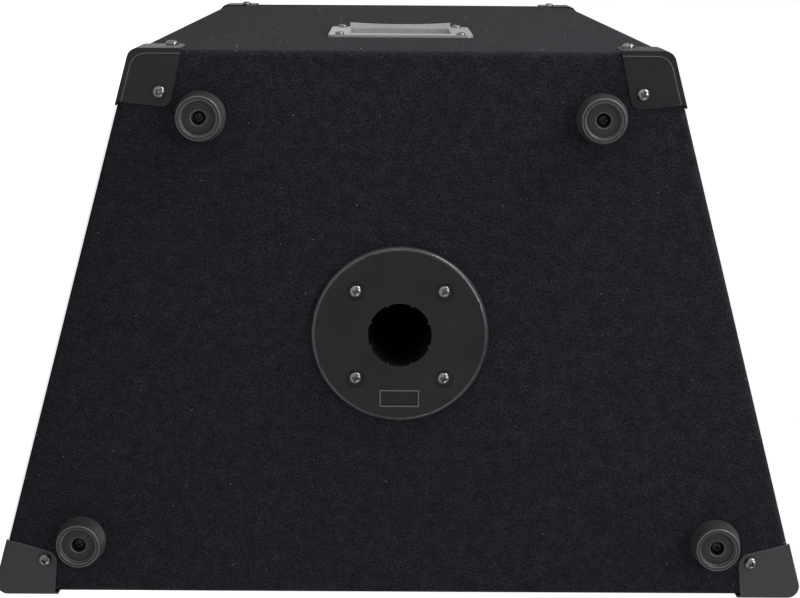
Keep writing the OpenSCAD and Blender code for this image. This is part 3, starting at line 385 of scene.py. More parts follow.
def makePlasticMaterial(name, dark, light, low, high, grain=0.0007, depth=0.00006, dust=0.05, gloss=0.35):
    made, tree, shader = newMaterial(name, Specular_IOR_Level=gloss)
    skin = useGroup(tree, grainGroup, Grain_size=grain, Patch_size=0.03)
    settled = useGroup(tree, dustGroup, Amount=dust)
    colour = mixColour(tree, skin.outputs["Patches"], dark, light)
    colour = mixColour(tree, settled.outputs["Dust"], colour, (0.3, 0.29, 0.28))
    feed(tree, colour, shader.inputs["Base Color"])
    rough = ramp(tree, skin.outputs["Patches"], 0.3, 0.7, low, high)
    feed(tree, math2(tree, "ADD", rough, math2(tree, "MULTIPLY", settled.outputs["Dust"], 0.5)),
         shader.inputs["Roughness"])
    bump(tree, shader, skin.outputs["Height"], 0.6, depth)
    return made


def makeMetalMaterial(name, dark, light, low, high, scratch=900.0, metallic=1.0):
    made, tree, shader = newMaterial(name, Metallic=metallic)
    spot = addNode(tree, "ShaderNodeTexCoord").outputs["Object"]
    drawn = addNode(tree, "ShaderNodeMapping")
    drawn.inputs["Scale"].default_value = (1.0, 1.0, 0.12)
    feed(tree, spot, drawn.inputs["Vector"])
    lines = texture(tree, drawn.outputs[0], scratch, 2.0)
    stains = texture(tree, spot, 120.0, 4.0, 0.65)
    settled = useGroup(tree, dustGroup, Amount=0.08)
    colour = mixColour(tree, stains.outputs["Fac"], dark, light)
    colour = mixColour(tree, settled.outputs["Dust"], colour, (0.4, 0.39, 0.37))
    feed(tree, colour, shader.inputs["Base Color"])
    feed(tree, ramp(tree, lines.outputs["Fac"], 0.3, 0.7, low, high), shader.inputs["Roughness"])
    bump(tree, shader, lines.outputs["Fac"], 0.25, 0.00003)
    return made


def makePlywoodMaterial():
    # bare inside, painted black where the front shows it
    made, tree, shader = newMaterial("birchPlywood", Roughness=0.6)
    spot = addNode(tree, "ShaderNodeTexCoord").outputs["Object"]
    inwards = toRow.to_3x3() @ Vector((0, 1, 0))
    depth = addNode(tree, "ShaderNodeVectorMath", operation="DOT_PRODUCT")
    feed(tree, spot, depth.inputs[0])
    depth.inputs[1].default_value = inwards
    paintEnd = place.dot(inwards) + cabinet["baffleInset"] + 0.004
    paint = ramp(tree, depth.outputs["Value"], paintEnd, paintEnd - 0.001)
    along = addNode(tree, "ShaderNodeMapping")
    along.inputs["Scale"].default_value = (1.2, 14.0, 14.0)
    feed(tree, spot, along.inputs["Vector"])
    grain = texture(tree, along.outputs[0], 9.0, 6.0, 0.65)
    pores = texture(tree, along.outputs[0], 60.0, 3.0)
    colour = mixColour(tree, ramp(tree, grain.outputs["Fac"], 0.35, 0.65), (0.52, 0.36, 0.2), (0.7, 0.54, 0.34))
    colour = mixColour(tree, ramp(tree, pores.outputs["Fac"], 0.55, 0.75), colour, (0.36, 0.23, 0.12))
    colour = mixColour(tree, paint, colour, (0.012, 0.012, 0.013))
    feed(tree, colour, shader.inputs["Base Color"])
    bump(tree, shader, grain.outputs["Fac"], 0.3, 0.0002)
    return made


def makeClothMaterial(name, dark, light, thread):
    made, tree, shader = newMaterial(name, Roughness=0.9, Sheen_Weight=0.2)
    spot = addNode(tree, "ShaderNodeTexCoord").outputs["Object"]
    weave = texture(tree, spot, 1 / thread, kind="F1")
    cloud = texture(tree, spot, 45.0, 4.0)
    colour = mixColour(tree, math2(tree, "MULTIPLY", weave.outputs["Distance"], cloud.outputs["Fac"]), dark, light)
    feed(tree, colour, shader.inputs["Base Color"])
    bump(tree, shader, weave.outputs["Distance"], 0.6, thread * 0.3)
    return made


def makePaperMaterial():
    # pressed pulp: short fibres over a cloudy ground
    made, tree, shader = newMaterial("pressedPulp", Roughness=0.82, Specular_IOR_Level=0.3)
    spot = addNode(tree, "ShaderNodeTexCoord").outputs["Object"]
    fibres = texture(tree, spot, 700.0, 6.0, 0.75)
    cloud = texture(tree, spot, 60.0, 3.0)
    settled = useGroup(tree, dustGroup, Amount=0.2)
    colour = mixColour(tree, ramp(tree, fibres.outputs["Fac"], 0.4, 0.7), (0.012, 0.012, 0.013), (0.05, 0.05, 0.052))
    colour = mixColour(tree, math2(tree, "MULTIPLY", cloud.outputs["Fac"], 0.3), colour, (0.03, 0.03, 0.032))
    colour = mixColour(tree, settled.outputs["Dust"], colour, (0.2, 0.2, 0.19))
    feed(tree, colour, shader.inputs["Base Color"])
    bump(tree, shader, fibres.outputs["Fac"], 0.5, 0.0003)
    return made


def makeWindingMaterial():
    made, tree, shader = newMaterial("enamelledWire", Metallic=0.9, Roughness=0.3)
    spot = addNode(tree, "ShaderNodeTexCoord").outputs["Object"]
    turns = addNode(tree, "ShaderNodeTexWave", bands_direction="Y")
    turns.inputs["Scale"].default_value = 300.0
    turns.inputs["Distortion"].default_value = 0.4
    feed(tree, spot, turns.inputs["Vector"])
    colour = mixColour(tree, turns.outputs["Fac"], (0.32, 0.12, 0.04), (0.75, 0.36, 0.15))
    feed(tree, colour, shader.inputs["Base Color"])
    bump(tree, shader, turns.outputs["Fac"], 0.5, 0.0002)
    return made


finishes = {
    "carpet": makeCarpetMaterial(),
    "lint": makeClothMaterial("paleLint", (0.16, 0.16, 0.17), (0.4, 0.4, 0.42), 0.0004),
    "plywood": makePlywoodMaterial(),
    "black_board": makePlasticMaterial("blackBoardPaint", (0.012, 0.012, 0.012), (0.02, 0.02, 0.02),
                                       0.75, 0.9, 0.0015),
    "black_plastic": makePlasticMaterial("satinBlackPlastic", (0.0045, 0.0045, 0.006), (0.009, 0.009, 0.011),
                                         0.34, 0.46, gloss=0.28),
    "grey_plastic": makePlasticMaterial("satinGreyPlastic", (0.019, 0.019, 0.022), (0.027, 0.027, 0.030),
                                        0.40, 0.52),
    # painted highlight: a lighter plastic laid on eased edges, beads, the label frame and the socket ribs' front
    # ends
    "edge_painted_highlight": makePlasticMaterial("plasticEdgePaintedHighlight", (0.05, 0.05, 0.053), (0.085, 0.085, 0.09),
                                       0.3, 0.42),
    # painted shade: darker zinc for the foot screws, which sit down in the feet's wells
    "zincInWell": makeMetalMaterial("shadedZinc", (0.02, 0.02, 0.02), (0.06, 0.06, 0.06), 0.4, 0.6),
    # the flange's rim: glossier plastic, and its lighter colour is a painted highlight
    "rim": makePlasticMaterial("polishedRimPaintedHighlight", (0.018, 0.018, 0.02), (0.03, 0.03, 0.032), 0.22, 0.34, gloss=0.6),
    # painted shade: a near-black matte finish for the socket's bore
    "bore": makePlasticMaterial("unlitBore", (0.002, 0.002, 0.002), (0.004, 0.004, 0.004),
                                0.85, 0.95, gloss=0.1),
    "plate_metal": makeMetalMaterial("greyLacquerPlate", (0.28, 0.28, 0.285), (0.42, 0.42, 0.425), 0.3, 0.45,
                                     metallic=0.6),
    "rubber": makePlasticMaterial("stippledRubber", (0.010, 0.010, 0.010), (0.018, 0.018, 0.018),
                                  0.6, 0.8, 0.0009, 0.00018, 0.2),
    "zinc": makeMetalMaterial("dulledZinc", (0.10, 0.10, 0.10), (0.26, 0.26, 0.25), 0.2, 0.34),
    "nickel": makeMetalMaterial("nickelPlate", (0.62, 0.6, 0.55), (0.78, 0.76, 0.7), 0.12, 0.25),
    "black_steel": makePlasticMaterial("blackPowderCoat", (0.010, 0.010, 0.010), (0.016, 0.016, 0.016),
                                       0.42, 0.55, 0.0005, 0.00008),
    "cast_frame": makePlasticMaterial("paintedSteelFrame", (0.012, 0.012, 0.013), (0.02, 0.02, 0.022),
                                      0.35, 0.5, 0.0012, 0.00008),
    "paper": makePaperMaterial(),
    "cloth": makeClothMaterial("dopedCloth", (0.008, 0.008, 0.008), (0.04, 0.04, 0.04), 0.0007),
    "spider_cloth": makeClothMaterial("resinCloth", (0.3, 0.16, 0.05), (0.6, 0.4, 0.16), 0.0008),
    "copper": makeWindingMaterial(),
    "steel": makeMetalMaterial("platedSteel", (0.4, 0.4, 0.42), (0.6, 0.6, 0.62), 0.25, 0.4),
    "ferrite": makePlasticMaterial("groundFerrite", (0.03, 0.03, 0.032), (0.06, 0.06, 0.062), 0.5, 0.7, 0.0006),
    "titanium": makeMetalMaterial("foilDome", (0.10, 0.10, 0.11), (0.18, 0.18, 0.19), 0.35, 0.5),
    "circuit_board": makePlasticMaterial("lacqueredBoard", (0.01, 0.06, 0.02), (0.02, 0.1, 0.035), 0.2, 0.35),
    "film": makePlasticMaterial("wrappedFilm", (0.5, 0.36, 0.08), (0.65, 0.5, 0.14), 0.15, 0.3),
    "ceramic": makePlasticMaterial("firedCeramic", (0.6, 0.6, 0.56), (0.75, 0.75, 0.7), 0.6, 0.8),
    "nylon": makePlasticMaterial("mouldedNylon", (0.6, 0.59, 0.54), (0.7, 0.69, 0.63), 0.4, 0.5),
    "red_wire": makePlasticMaterial("redSleeve", (0.35, 0.01, 0.01), (0.5, 0.02, 0.02), 0.3, 0.4),
    "black_wire": makePlasticMaterial("blackSleeve", (0.008, 0.008, 0.008), (0.014, 0.014, 0.014), 0.3, 0.4),
    "blue_wire": makePlasticMaterial("blueSleeve", (0.01, 0.02, 0.25), (0.02, 0.04, 0.35), 0.3, 0.4),
    "wadding": makeClothMaterial("polyesterWadding", (0.5, 0.5, 0.48), (0.75, 0.75, 0.72), 0.002),
}

slotOf = {part["node"]: part["material_slot"] for part in frame["record"]["subparts"]}
for nodeName, cadNode in frame["nodes"].items():
    cadNode.data.materials.clear()
    cadNode.data.materials.append(finishes[slotOf[nodeName]])
print("stage:", len(finishes), "finishes on", len(frame["nodes"]), "nodes")

# small tools for meshes


def addPiece(name, mesh, slotName, body, nodes=()):
    piece = bpy.data.objects.new(name, mesh)
    bpy.context.scene.collection.objects.link(piece)
    if not mesh.materials:
        mesh.materials.append(finishes[slotName])
    declare(piece, body, nodes)
    return piece


def declare(piece, body, nodes=()):
    if nodes:
        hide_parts(*nodes)
    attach(piece, body)


def setSharp(bm, degrees):
    limit = math.radians(degrees)
    for face in bm.faces:
        face.smooth = True
    for edge in bm.edges:
        edge.smooth = len(edge.link_faces) == 2 and edge.calc_face_angle(0.0) < limit


def meshFrom(bm, name, sharp=35):
    setSharp(bm, sharp)
    mesh = bpy.data.meshes.new(name)
    bm.to_mesh(mesh)
    bm.free()
    return mesh


def mergedCopy(nodeName):
    bm = bmesh.new()
    bm.from_mesh(frame["nodes"][nodeName].data)
    bmesh.ops.remove_doubles(bm, verts=bm.verts, dist=2e-6)
    bmesh.ops.dissolve_limit(bm, angle_limit=math.radians(0.6), verts=bm.verts, edges=bm.edges)
    return bm


def applied(piece):
    # the evaluated piece as a plain mesh
    graph = bpy.context.evaluated_depsgraph_get()
    mesh = bpy.data.meshes.new_from_object(piece.evaluated_get(graph), depsgraph=graph)
    piece.modifiers.clear()
    return mesh


def eased(nodeName, width, slotName, edgeName):
    # a copy of a CAD part with its edges rounded over and given the edge finish, which on the plastic and rubber
    # parts is a lighter plastic standing as a painted highlight
    piece = bpy.data.objects.new(nodeName + "_eased", meshFrom(mergedCopy(nodeName), nodeName + "_eased"))
    bpy.context.scene.collection.objects.link(piece)
    piece.data.materials.append(finishes[slotName])
    piece.data.materials.append(finishes[edgeName])
    bevel = piece.modifiers.new("ease", "BEVEL")
    bevel.width = width
    bevel.segments = 2
    bevel.limit_method = "ANGLE"
    bevel.angle_limit = math.radians(40)
    bevel.miter_outer = "MITER_ARC"
    bevel.material = 1
    split = piece.modifiers.new("split", "TRIANGULATE")
    split.min_vertices = 5
    weighted = piece.modifiers.new("weighted", "WEIGHTED_NORMAL")
    weighted.keep_sharp = True
    weighted.weight = 80
    piece.data = applied(piece)
    declare(piece, "cabinet", [nodeName])
    return piece


def newTree(name, inputs):
    # a Geometry Nodes tree with a geometry input, the named inputs and a geometry output
    tree = bpy.data.node_groups.new(name, "GeometryNodeTree")
    tree.interface.new_socket("Geometry", in_out="INPUT", socket_type="NodeSocketGeometry")
    for label, kind, value in inputs:
        socket = tree.interface.new_socket(label, in_out="INPUT", socket_type=kind)
        if value is not None:
            socket.default_value = value
    tree.interface.new_socket("Geometry", in_out="OUTPUT", socket_type="NodeSocketGeometry")
    return tree, tree.nodes.new("NodeGroupInput"), tree.nodes.new("NodeGroupOutput")


def endTree(tree, given, result, geometry):
    real = addNode(tree, "GeometryNodeRealizeInstances")
    painted = addNode(tree, "GeometryNodeSetMaterial")
    feed(tree, geometry, real.inputs[0])
    feed(tree, real.outputs[0], painted.inputs["Geometry"])
    feed(tree, given.outputs["Finish"], painted.inputs["Material"])
    feed(tree, painted.outputs[0], result.inputs[0])


def grown(tree, base, name, values):
    # runs a tree on a base mesh and returns the result as a plain mesh
    holder = bpy.data.objects.new(name, base)
    bpy.context.scene.collection.objects.link(holder)
    modifier = holder.modifiers.new("grow", "NODES")
    modifier.node_group = tree
    for item in tree.interface.items_tree:
        if item.in_out == "INPUT" and item.name in values:
            modifier[item.identifier] = values[item.name]
    mesh = applied(holder)
    mesh.name = name
    bpy.data.objects.remove(holder)
    return mesh


def pointMesh(name, places, facings):
    # loose points with the way each one faces
    mesh = bpy.data.meshes.new(name)
    mesh.from_pydata([tuple(p) for p in places], [], [])
    facing = mesh.attributes.new("facing", "FLOAT_VECTOR", "POINT")
    facing.data.foreach_set("vector", [value for f in facings for value in f])
    return mesh


def prototype(name, bm, sharp=30):
    # an object to be instanced, which is taken away again before the end
    piece = bpy.data.objects.new(name, meshFrom(bm, name, sharp))
    bpy.context.scene.collection.objects.link(piece)
    prototypes.append(piece)
    return piece


prototypes = []


def lathe(bm, profile, steps, matrix=Matrix()):
    # turns (radius, height) points about local z; a radius of 0 closes the end
    rings = []
    for radius, height in profile:
        if radius == 0:
            rings.append([bm.verts.new(matrix @ Vector((0, 0, height)))])
            continue
        rings.append([
            bm.verts.new(matrix @ Vector((
                radius * math.cos(2 * math.pi * i / steps),
                radius * math.sin(2 * math.pi * i / steps),
                height,
            ))) for i in range(steps)
        ])
    for lower, upper in zip(rings, rings[1:]):
        for i in range(steps):
            j = (i + 1) % steps
            corners = []
            for ring, k in ((lower, i), (lower, j), (upper, j), (upper, i)):
                vert = ring[0] if len(ring) == 1 else ring[k]
                if vert not in corners:
                    corners.append(vert)
            bm.faces.new(corners)


def cutAway(bm, cutters):
    # takes the cutters' meshes out of a closed mesh
    target = bpy.data.objects.new("cutTarget", bpy.data.meshes.new("cutTarget"))
    bm.to_mesh(target.data)
    bm.free()
    bpy.context.scene.collection.objects.link(target)
    tools = []
    for number, cutter in enumerate(cutters):
        tool = bpy.data.objects.new("cutTool", bpy.data.meshes.new("cutTool"))
        cutter.to_mesh(tool.data)
        cutter.free()
        bpy.context.scene.collection.objects.link(tool)
        tools.append(tool)
        modifier = target.modifiers.new("cut" + str(number), "BOOLEAN")
        modifier.operation = "DIFFERENCE"
        modifier.solver = "EXACT"
        modifier.object = tool
    mesh = applied(target)
    for used in tools + [target]:
        bpy.data.objects.remove(used)
    done = bmesh.new()
    done.from_mesh(mesh)
    return done


def blockMesh(low, high, taper=1.0):
    # a box, narrower at its low end by taper
    bm = bmesh.new()
    verts = []
    for z in (low[2], high[2]):
        share = taper if z == low[2] else 1.0
        for x, y in ((low[0], low[1]), (high[0], low[1]), (high[0], high[1]), (low[0], high[1])):
            verts.append(bm.verts.new((x * share, y * share, z)))
    for corners in ((3, 2, 1, 0), (4, 5, 6, 7), (0, 1, 5, 4), (1, 2, 6, 5), (2, 3, 7, 6), (3, 0, 4, 7)):
        bm.faces.new([verts[i] for i in corners])
    return bm


# screws

screwHead = {
    "radius": 0.0038,
    "height": 0.0028,
    "skirt": 0.0007,       # upright edge below the dome
    "slotWidth": 0.0015,
    "slotReach": 0.0022,
    "slotDepth": 0.0022,
    "steps": 28,
}


def makeScrewPrototype():
    s = screwHead
    bm = bmesh.new()
    domeSteps = 7
    profile = [(0, -0.002), (s["radius"] * 0.5, -0.002), (s["radius"] * 0.5, 0),
               (s["radius"] * 0.96, 0), (s["radius"], s["skirt"] * 0.3)]
    for i in range(domeSteps):
        turn = math.pi / 2 * i / domeSteps
        profile.append((s["radius"] * math.cos(turn) ** 0.8,
                        s["skirt"] + (s["height"] - s["skirt"]) * math.sin(turn) ** 1.1))
    profile.append((0, s["height"]))
    lathe(bm, profile, s["steps"])
    half, reach = s["slotWidth"] / 2, s["slotReach"]
    low, high = s["height"] - s["slotDepth"], s["height"] + 0.001
    cutters = [blockMesh((-reach, -half, low), (reach, half, high), 0.55),
               blockMesh((-half, -reach, low), (half, reach, high), 0.55)]
    return prototype("crossScrewHead", cutAway(bm, cutters), 28)


def spunAbout(tree, rotation, seed, furthest):
    # the same rotation with a random turn about its own z
    spin = addNode(tree, "FunctionNodeRandomValue", data_type="FLOAT")
    spin.inputs["Max"].default_value = furthest
    feed(tree, seed, spin.inputs["Seed"])
    about = addNode(tree, "FunctionNodeAxisAngleToRotation")
    about.inputs["Axis"].default_value = (0, 0, 1)
    feed(tree, spin.outputs["Value"], about.inputs["Angle"])
    turned = addNode(tree, "FunctionNodeRotateRotation", rotation_space="LOCAL")
    feed(tree, rotation, turned.inputs[0])
    feed(tree, about.outputs[0], turned.inputs[1])
    return turned.outputs[0]


def makePointsTree():
    tree, given, result = newTree("piecesOnPoints", [
        ("Piece", "NodeSocketObject", None),
        ("Size", "NodeSocketFloat", 1.0),
        ("Finish", "NodeSocketMaterial", None),
        ("Seed", "NodeSocketInt", 3),
    ])
    facing = addNode(tree, "GeometryNodeInputNamedAttribute", data_type="FLOAT_VECTOR")
    facing.inputs["Name"].default_value = "facing"
    align = addNode(tree, "FunctionNodeAlignRotationToVector", axis="Z")
    feed(tree, facing.outputs["Attribute"], align.inputs["Vector"])
    turned = spunAbout(tree, align.outputs[0], given.outputs["Seed"], math.pi)
    source = addNode(tree, "GeometryNodeObjectInfo")
    feed(tree, given.outputs["Piece"], source.inputs["Object"])
    placed = addNode(tree, "GeometryNodeInstanceOnPoints")
    feed(tree, given.outputs["Geometry"], placed.inputs["Points"])
    feed(tree, source.outputs["Geometry"], placed.inputs["Instance"])
    feed(tree, turned, placed.inputs["Rotation"])
    feed(tree, given.outputs["Size"], placed.inputs["Scale"])
    endTree(tree, given, result, placed.outputs[0])
    return tree


onPointsTree = makePointsTree()

faceDirections = [
    rowDirection(-1, 0, 0), rowDirection(1, 0, 0), rowDirection(0, 1, 0), rowDirection(0, -1, 0),
    rowDirection(0, math.sin(sideAngle), math.cos(sideAngle)),
    rowDirection(0, math.sin(sideAngle), -math.cos(sideAngle)),
]


def islands(nodeName):
    # the separate solids of a CAD node, as lists of points
    bm = mergedCopy(nodeName)
    left = set(bm.verts)
    found = []
    while left:
        stack = [left.pop()]
        group = []
        while stack:
            vert = stack.pop()
            group.append(vert.co.copy())
            for edge in vert.link_edges:
                other = edge.other_vert(vert)
                if other in left:
                    left.discard(other)
                    stack.append(other)
        found.append(group)
    bm.free()
    return sorted(found, key=lambda group: tuple(round(value, 4) for value in sum(group, Vector()) / len(group)))


def screwPlaces(nodeName, headHeight):
    # where each screw of a CAD node seats, and the way its head faces
    places, facings = [], []
    for points in islands(nodeName):
        best = None
        for direction in faceDirections:
            heights = [p.dot(direction) for p in points]
            top = max(heights)
            axisPoint = middleOf(points)
            flat = [p - direction * (p - axisPoint).dot(direction) - axisPoint for p in points]
            reach = max(offset.length for offset in flat)
            headReach = max(offset.length for offset, height in zip(flat, heights)
                            if height > top - headHeight * 1.02)
            rank = (round(reach, 5), -headReach)
            if best is None or rank < best[0]:
                best = (rank, axisPoint, direction, top)
        axisPoint, direction, top = best[1:]
        seat = axisPoint + direction * (top - headHeight - axisPoint.dot(direction))
        places.append(seat)
        facings.append(direction)
    return places, facings


screwSets = {               # finish, height and radius of the head, seed of the slots' turns
    "protector_screws": ("zinc", 0.0028, 0.0038, 11),
    "pole_socket_screws": ("zinc", 0.0028, 0.0038, 5),
    "input_plate_screws": ("zinc", 0.0020, 0.0030, 8),
    "foot_screws": ("zinc", 0.0028, 0.0038, 2),
    "grille_screws": ("black_steel", 0.0024, 0.0038, 7),
    "handle_screws": ("black_steel", 0.0006, 0.0038, 4),
    "woofer_screws": ("black_steel", 0.0028, 0.0038, 9),
    "horn_screws": ("black_steel", 0.0028, 0.0038, 6),
    "port_screws": ("black_steel", 0.0020, 0.0030, 12),
}


def makeScrews():
    head = makeScrewPrototype()
    for nodeName, (slotName, headHeight, headRadius, seed) in screwSets.items():
        places, facings = screwPlaces(nodeName, headHeight)
        size = headRadius / screwHead["radius"]
        squeeze = headHeight / (screwHead["height"] * size)
        source = bpy.data.objects.new(nodeName + "_head", head.data.copy())
        source.data.transform(Matrix.Diagonal((1, 1, squeeze, 1)))
        bpy.context.scene.collection.objects.link(source)
        prototypes.append(source)
        mesh = grown(onPointsTree, pointMesh(nodeName, places, facings), nodeName + "_heads", {
            "Piece": source, "Size": size, "Seed": seed,
            # the foot screws take the darker zinc as painted shade
            "Finish": finishes["zincInWell" if nodeName == "foot_screws" else slotName],
        })
        addPiece(nodeName + "_heads", mesh, slotName, "cabinet", [nodeName])


makeScrews()
print("stage: screws")

# carpet

carpetSet = {
    "arcSteps": 6,
    "socketHole": 0.0255,           # radius
    "plateHole": (0.036, 0.037),    # half sizes
    "handleHole": (0.084, 0.048),
    "cutDepth": 0.02,
    "lintDensity": 800,     # stray fibres a square metre
    "lintLength": 0.0010,
    "lintThick": 0.00008,
}


def outlineRing(off, radius, steps):
    # the cabinet's cross-section shrunk by off, as (y, z) points with rounded corners
    corners = []
    for front, side in ((False, 1), (True, 1), (True, -1), (False, -1)):
        if front:
            y = radius + off
        else:
            y = cabinet["depth"] - off - radius
        corners.append((y, side * halfWidth(y, off + radius), front, side))
    slant = math.pi / 2 - sideAngle
    points = []
    for y, z, front, side in corners:
        if side > 0:
            turn = (slant, math.pi) if front else (0, slant)
        else:
            turn = (math.pi, 2 * math.pi - slant) if front else (2 * math.pi - slant, 2 * math.pi)
        for i in range(steps + 1):
            angle = turn[0] + (turn[1] - turn[0]) * i / steps
            points.append((y + radius * math.cos(angle), z + radius * math.sin(angle)))
    return points


def sweptBody(off, radius, endRadius, low, high, arcSteps):
    # closed body with the cabinet's outline, its ends eased to endRadius
    bm = bmesh.new()
    ends = [(low, 0.0)]
    if endRadius:
        turns = [math.pi / 2 * i / arcSteps for i in range(arcSteps, -1, -1)]
        ends = [(low + endRadius * (1 - math.sin(t)), endRadius * (1 - math.cos(t))) for t in turns]
    full = ends + [(low + high - x, extra) for x, extra in reversed(ends)]
    rings = []
    for x, extra in full:
        shrunk = outlineRing(off + extra, max(radius - extra, 0.0012), arcSteps)
        rings.append([bm.verts.new(rowPoint(x, y, z)) for y, z in shrunk])
    count = len(rings[0])
    for lower, upper in zip(rings, rings[1:]):
        for i in range(count):
            j = (i + 1) % count
            bm.faces.new((lower[i], lower[j], upper[j], upper[i]))
    bm.faces.new(rings[0][::-1])
    bm.faces.new(rings[-1])
    bmesh.ops.recalc_face_normals(bm, faces=bm.faces)
    return bm


def prismBetween(y0, y1, off, low, high):
    bm = bmesh.new()
    verts = [bm.verts.new(rowPoint(x, y, side * halfWidth(y, off)))
             for x in (low, high) for y, side in ((y0, -1), (y1, -1), (y1, 1), (y0, 1))]
    for corners in ((0, 1, 2, 3), (7, 6, 5, 4), (0, 4, 5, 1), (1, 5, 6, 2), (2, 6, 7, 3), (3, 7, 4, 0)):
        bm.faces.new([verts[i] for i in corners])
    bmesh.ops.recalc_face_normals(bm, faces=bm.faces)
    return bm


def makeCarpet():
    thick = cabinet["carpet"]
    outer = sweptBody(0, cabinet["edge"], cabinet["endEdge"], -endX, endX, carpetSet["arcSteps"])
    core = sweptBody(thick, cabinet["edge"] - thick, 0, -endX + thick, endX - thick, carpetSet["arcSteps"])
    recess = prismBetween(-0.01, cabinet["baffleInset"] - 0.0005, inset + thick, -linedX, linedX)
    bm = cutAway(outer, [core])
    bm = cutAway(bm, [recess])
    wells = []
    tube = bmesh.new()
    deep, wide = carpetSet["cutDepth"], carpetSet["socketHole"]
    lathe(tube, [(0, -deep), (wide, -deep), (wide, deep), (0, deep)], 48,
          toRow @ Matrix.Translation((-endX, cabinet["socketFromFront"], 0)) @ Matrix.Rotation(math.pi / 2, 4, "Y"))
    bmesh.ops.recalc_face_normals(tube, faces=tube.faces)
    wells.append(tube)
    plateLow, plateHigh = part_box("input_plate")
    plateX = (plateLow.x + plateHigh.x) / 2 - place.x
    along, across = carpetSet["plateHole"]
    dish = blockMesh((-along, -across, -deep), (along, across, deep))
    dish.transform(toRow @ Matrix.Translation((plateX, cabinet["depth"], 0)) @ Matrix.Rotation(-math.pi / 2, 4, "X"))
    wells.append(dish)
    gripLow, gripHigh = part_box("handle_grips")
    gripX = (gripLow.x + gripHigh.x) / 2 - place.x
    along, across = carpetSet["handleHole"]
    for side in (1, -1):
        cup = blockMesh((-along, -across, -deep), (along, across, deep))
        cup.transform(Matrix.Translation((gripX, handleY, halfWidth(handleY))) @ Matrix.Rotation(-sideAngle, 4, "X"))
        if side < 0:
            cup.transform(Matrix.Diagonal((1, 1, -1, 1)))
        cup.transform(toRow)
        bmesh.ops.recalc_face_normals(cup, faces=cup.faces)
        wells.append(cup)
    bm = cutAway(bm, wells)
    bmesh.ops.triangulate(bm, faces=[f for f in bm.faces if len(f.verts) > 4])
    mesh = meshFrom(bm, "carpet_wrap", 40)
    mesh.materials.clear()
    addPiece("carpet_wrap", mesh, "carpet", "cabinet", ["carpet_cover"])


gripPoints = [tilt.inverted() @ (v.co - place) for v in frame["nodes"]["handle_grips"].data.vertices]
topGrip = [p for p in gripPoints if p.z > 0]
gripMiddle = middleOf(topGrip)
gripRadius = (max(p.y for p in topGrip) - min(p.y for p in topGrip)) / 2
gripCentres = [toRow @ Vector((gripMiddle.x, gripMiddle.y, side * gripMiddle.z)) for side in (1, -1)]
# straight out from the grip to the slanted side
outFromGrip = Vector((0, math.sin(sideAngle), math.cos(sideAngle)))
gripBelow = (halfWidth(gripMiddle.y) - gripMiddle.z) * math.cos(sideAngle)
handleY = (gripMiddle + outFromGrip * gripBelow).y

makeCarpet()
print("stage: carpet")

# hard parts with eased edges

labelSet = {
    "below": 0.038,         # from the socket's axis, towards the front edge
    "width": 0.0216,
    "tall": 0.0086,
    "rim": 0.0008,
    "height": 0.0005,
    "flange": 0.0045,
    "boreReach": 0.019,     # nearer the axis than this and deeper than boreStart is bore
    "boreStart": 0.0035,
    "tipReach": 0.0155,     # the ribs' front ends
    "tipDepth": 0.010,
    "rimStart": 0.0497,     # further from the axis than this is rim
}

# where the edge finish is the lighter plastic, the bevels carry a painted highlight
easedParts = {              # width of the easing, finish, finish of the edges
    "pole_socket": (0.0004, "black_plastic", "edge_painted_highlight"),
    "rubber_feet": (0.0006, "rubber", "edge_painted_highlight"),
    "protectors_rear": (0.0005, "black_plastic", "edge_painted_highlight"),
    "protectors_front": (0.0005, "grey_plastic", "edge_painted_highlight"),
    "input_plate": (0.0003, "plate_metal", "plate_metal"),
    "handle_cups": (0.0008, "black_plastic", "edge_painted_highlight"),
    "jack_nuts": (0.0003, "nickel", "nickel"),
    "port_tubes": (0.0008, "black_plastic", "edge_painted_highlight"),
    "woofer_gasket": (0.0008, "rubber", "rubber"),
    "foot_washers": (0.0001, "zinc", "zinc"),
    "grille_spacers": (0.0004, "rubber", "rubber"),
}
for nodeName, (width, slotName, edgeName) in easedParts.items():
    easedPiece = eased(nodeName, width, slotName, edgeName)
    if nodeName == "pole_socket":
        socketPiece = easedPiece
    # painted highlight: the protectors' rounded faces take the lighter edge finish
    if nodeName.startswith("protectors"):
        for face in easedPiece.data.polygons:
            if max(abs(face.normal.dot(direction)) for direction in faceDirections) < 0.97:
                face.material_index = 1

# painted shade and highlight: the bore behind the flange gets a near-black finish as painted shade, the ribs' front
# ends get the lighter edge finish as a painted highlight, and the flange's rim is polished and painted lighter as a
# highlight
socketPiece.data.materials.append(finishes["bore"])
socketPiece.data.materials.append(finishes["rim"])
inRow = [toRow.inverted() @ vertex.co for vertex in socketPiece.data.vertices]
axisReach = [math.hypot(spot.y - cabinet["socketFromFront"], spot.z) for spot in inRow]
for face in socketPiece.data.polygons:
    depth = sum(inRow[i].x for i in face.vertices) / len(face.vertices) + endX
    reach = sum(axisReach[i] for i in face.vertices) / len(face.vertices)
    towards = -(toRow.to_3x3().inverted() @ face.normal).x
    if reach < labelSet["boreReach"] and depth > -labelSet["boreStart"]:
        isTip = towards > 0.4 and depth < labelSet["tipDepth"] and reach > labelSet["tipReach"]
        face.material_index = 1 if isTip else 2
    elif min(axisReach[i] for i in face.vertices) > labelSet["rimStart"]:
        face.material_index = 3
print("stage: eased hard parts")

# raised frame on the socket's flange, in the lighter edge finish as a painted highlight


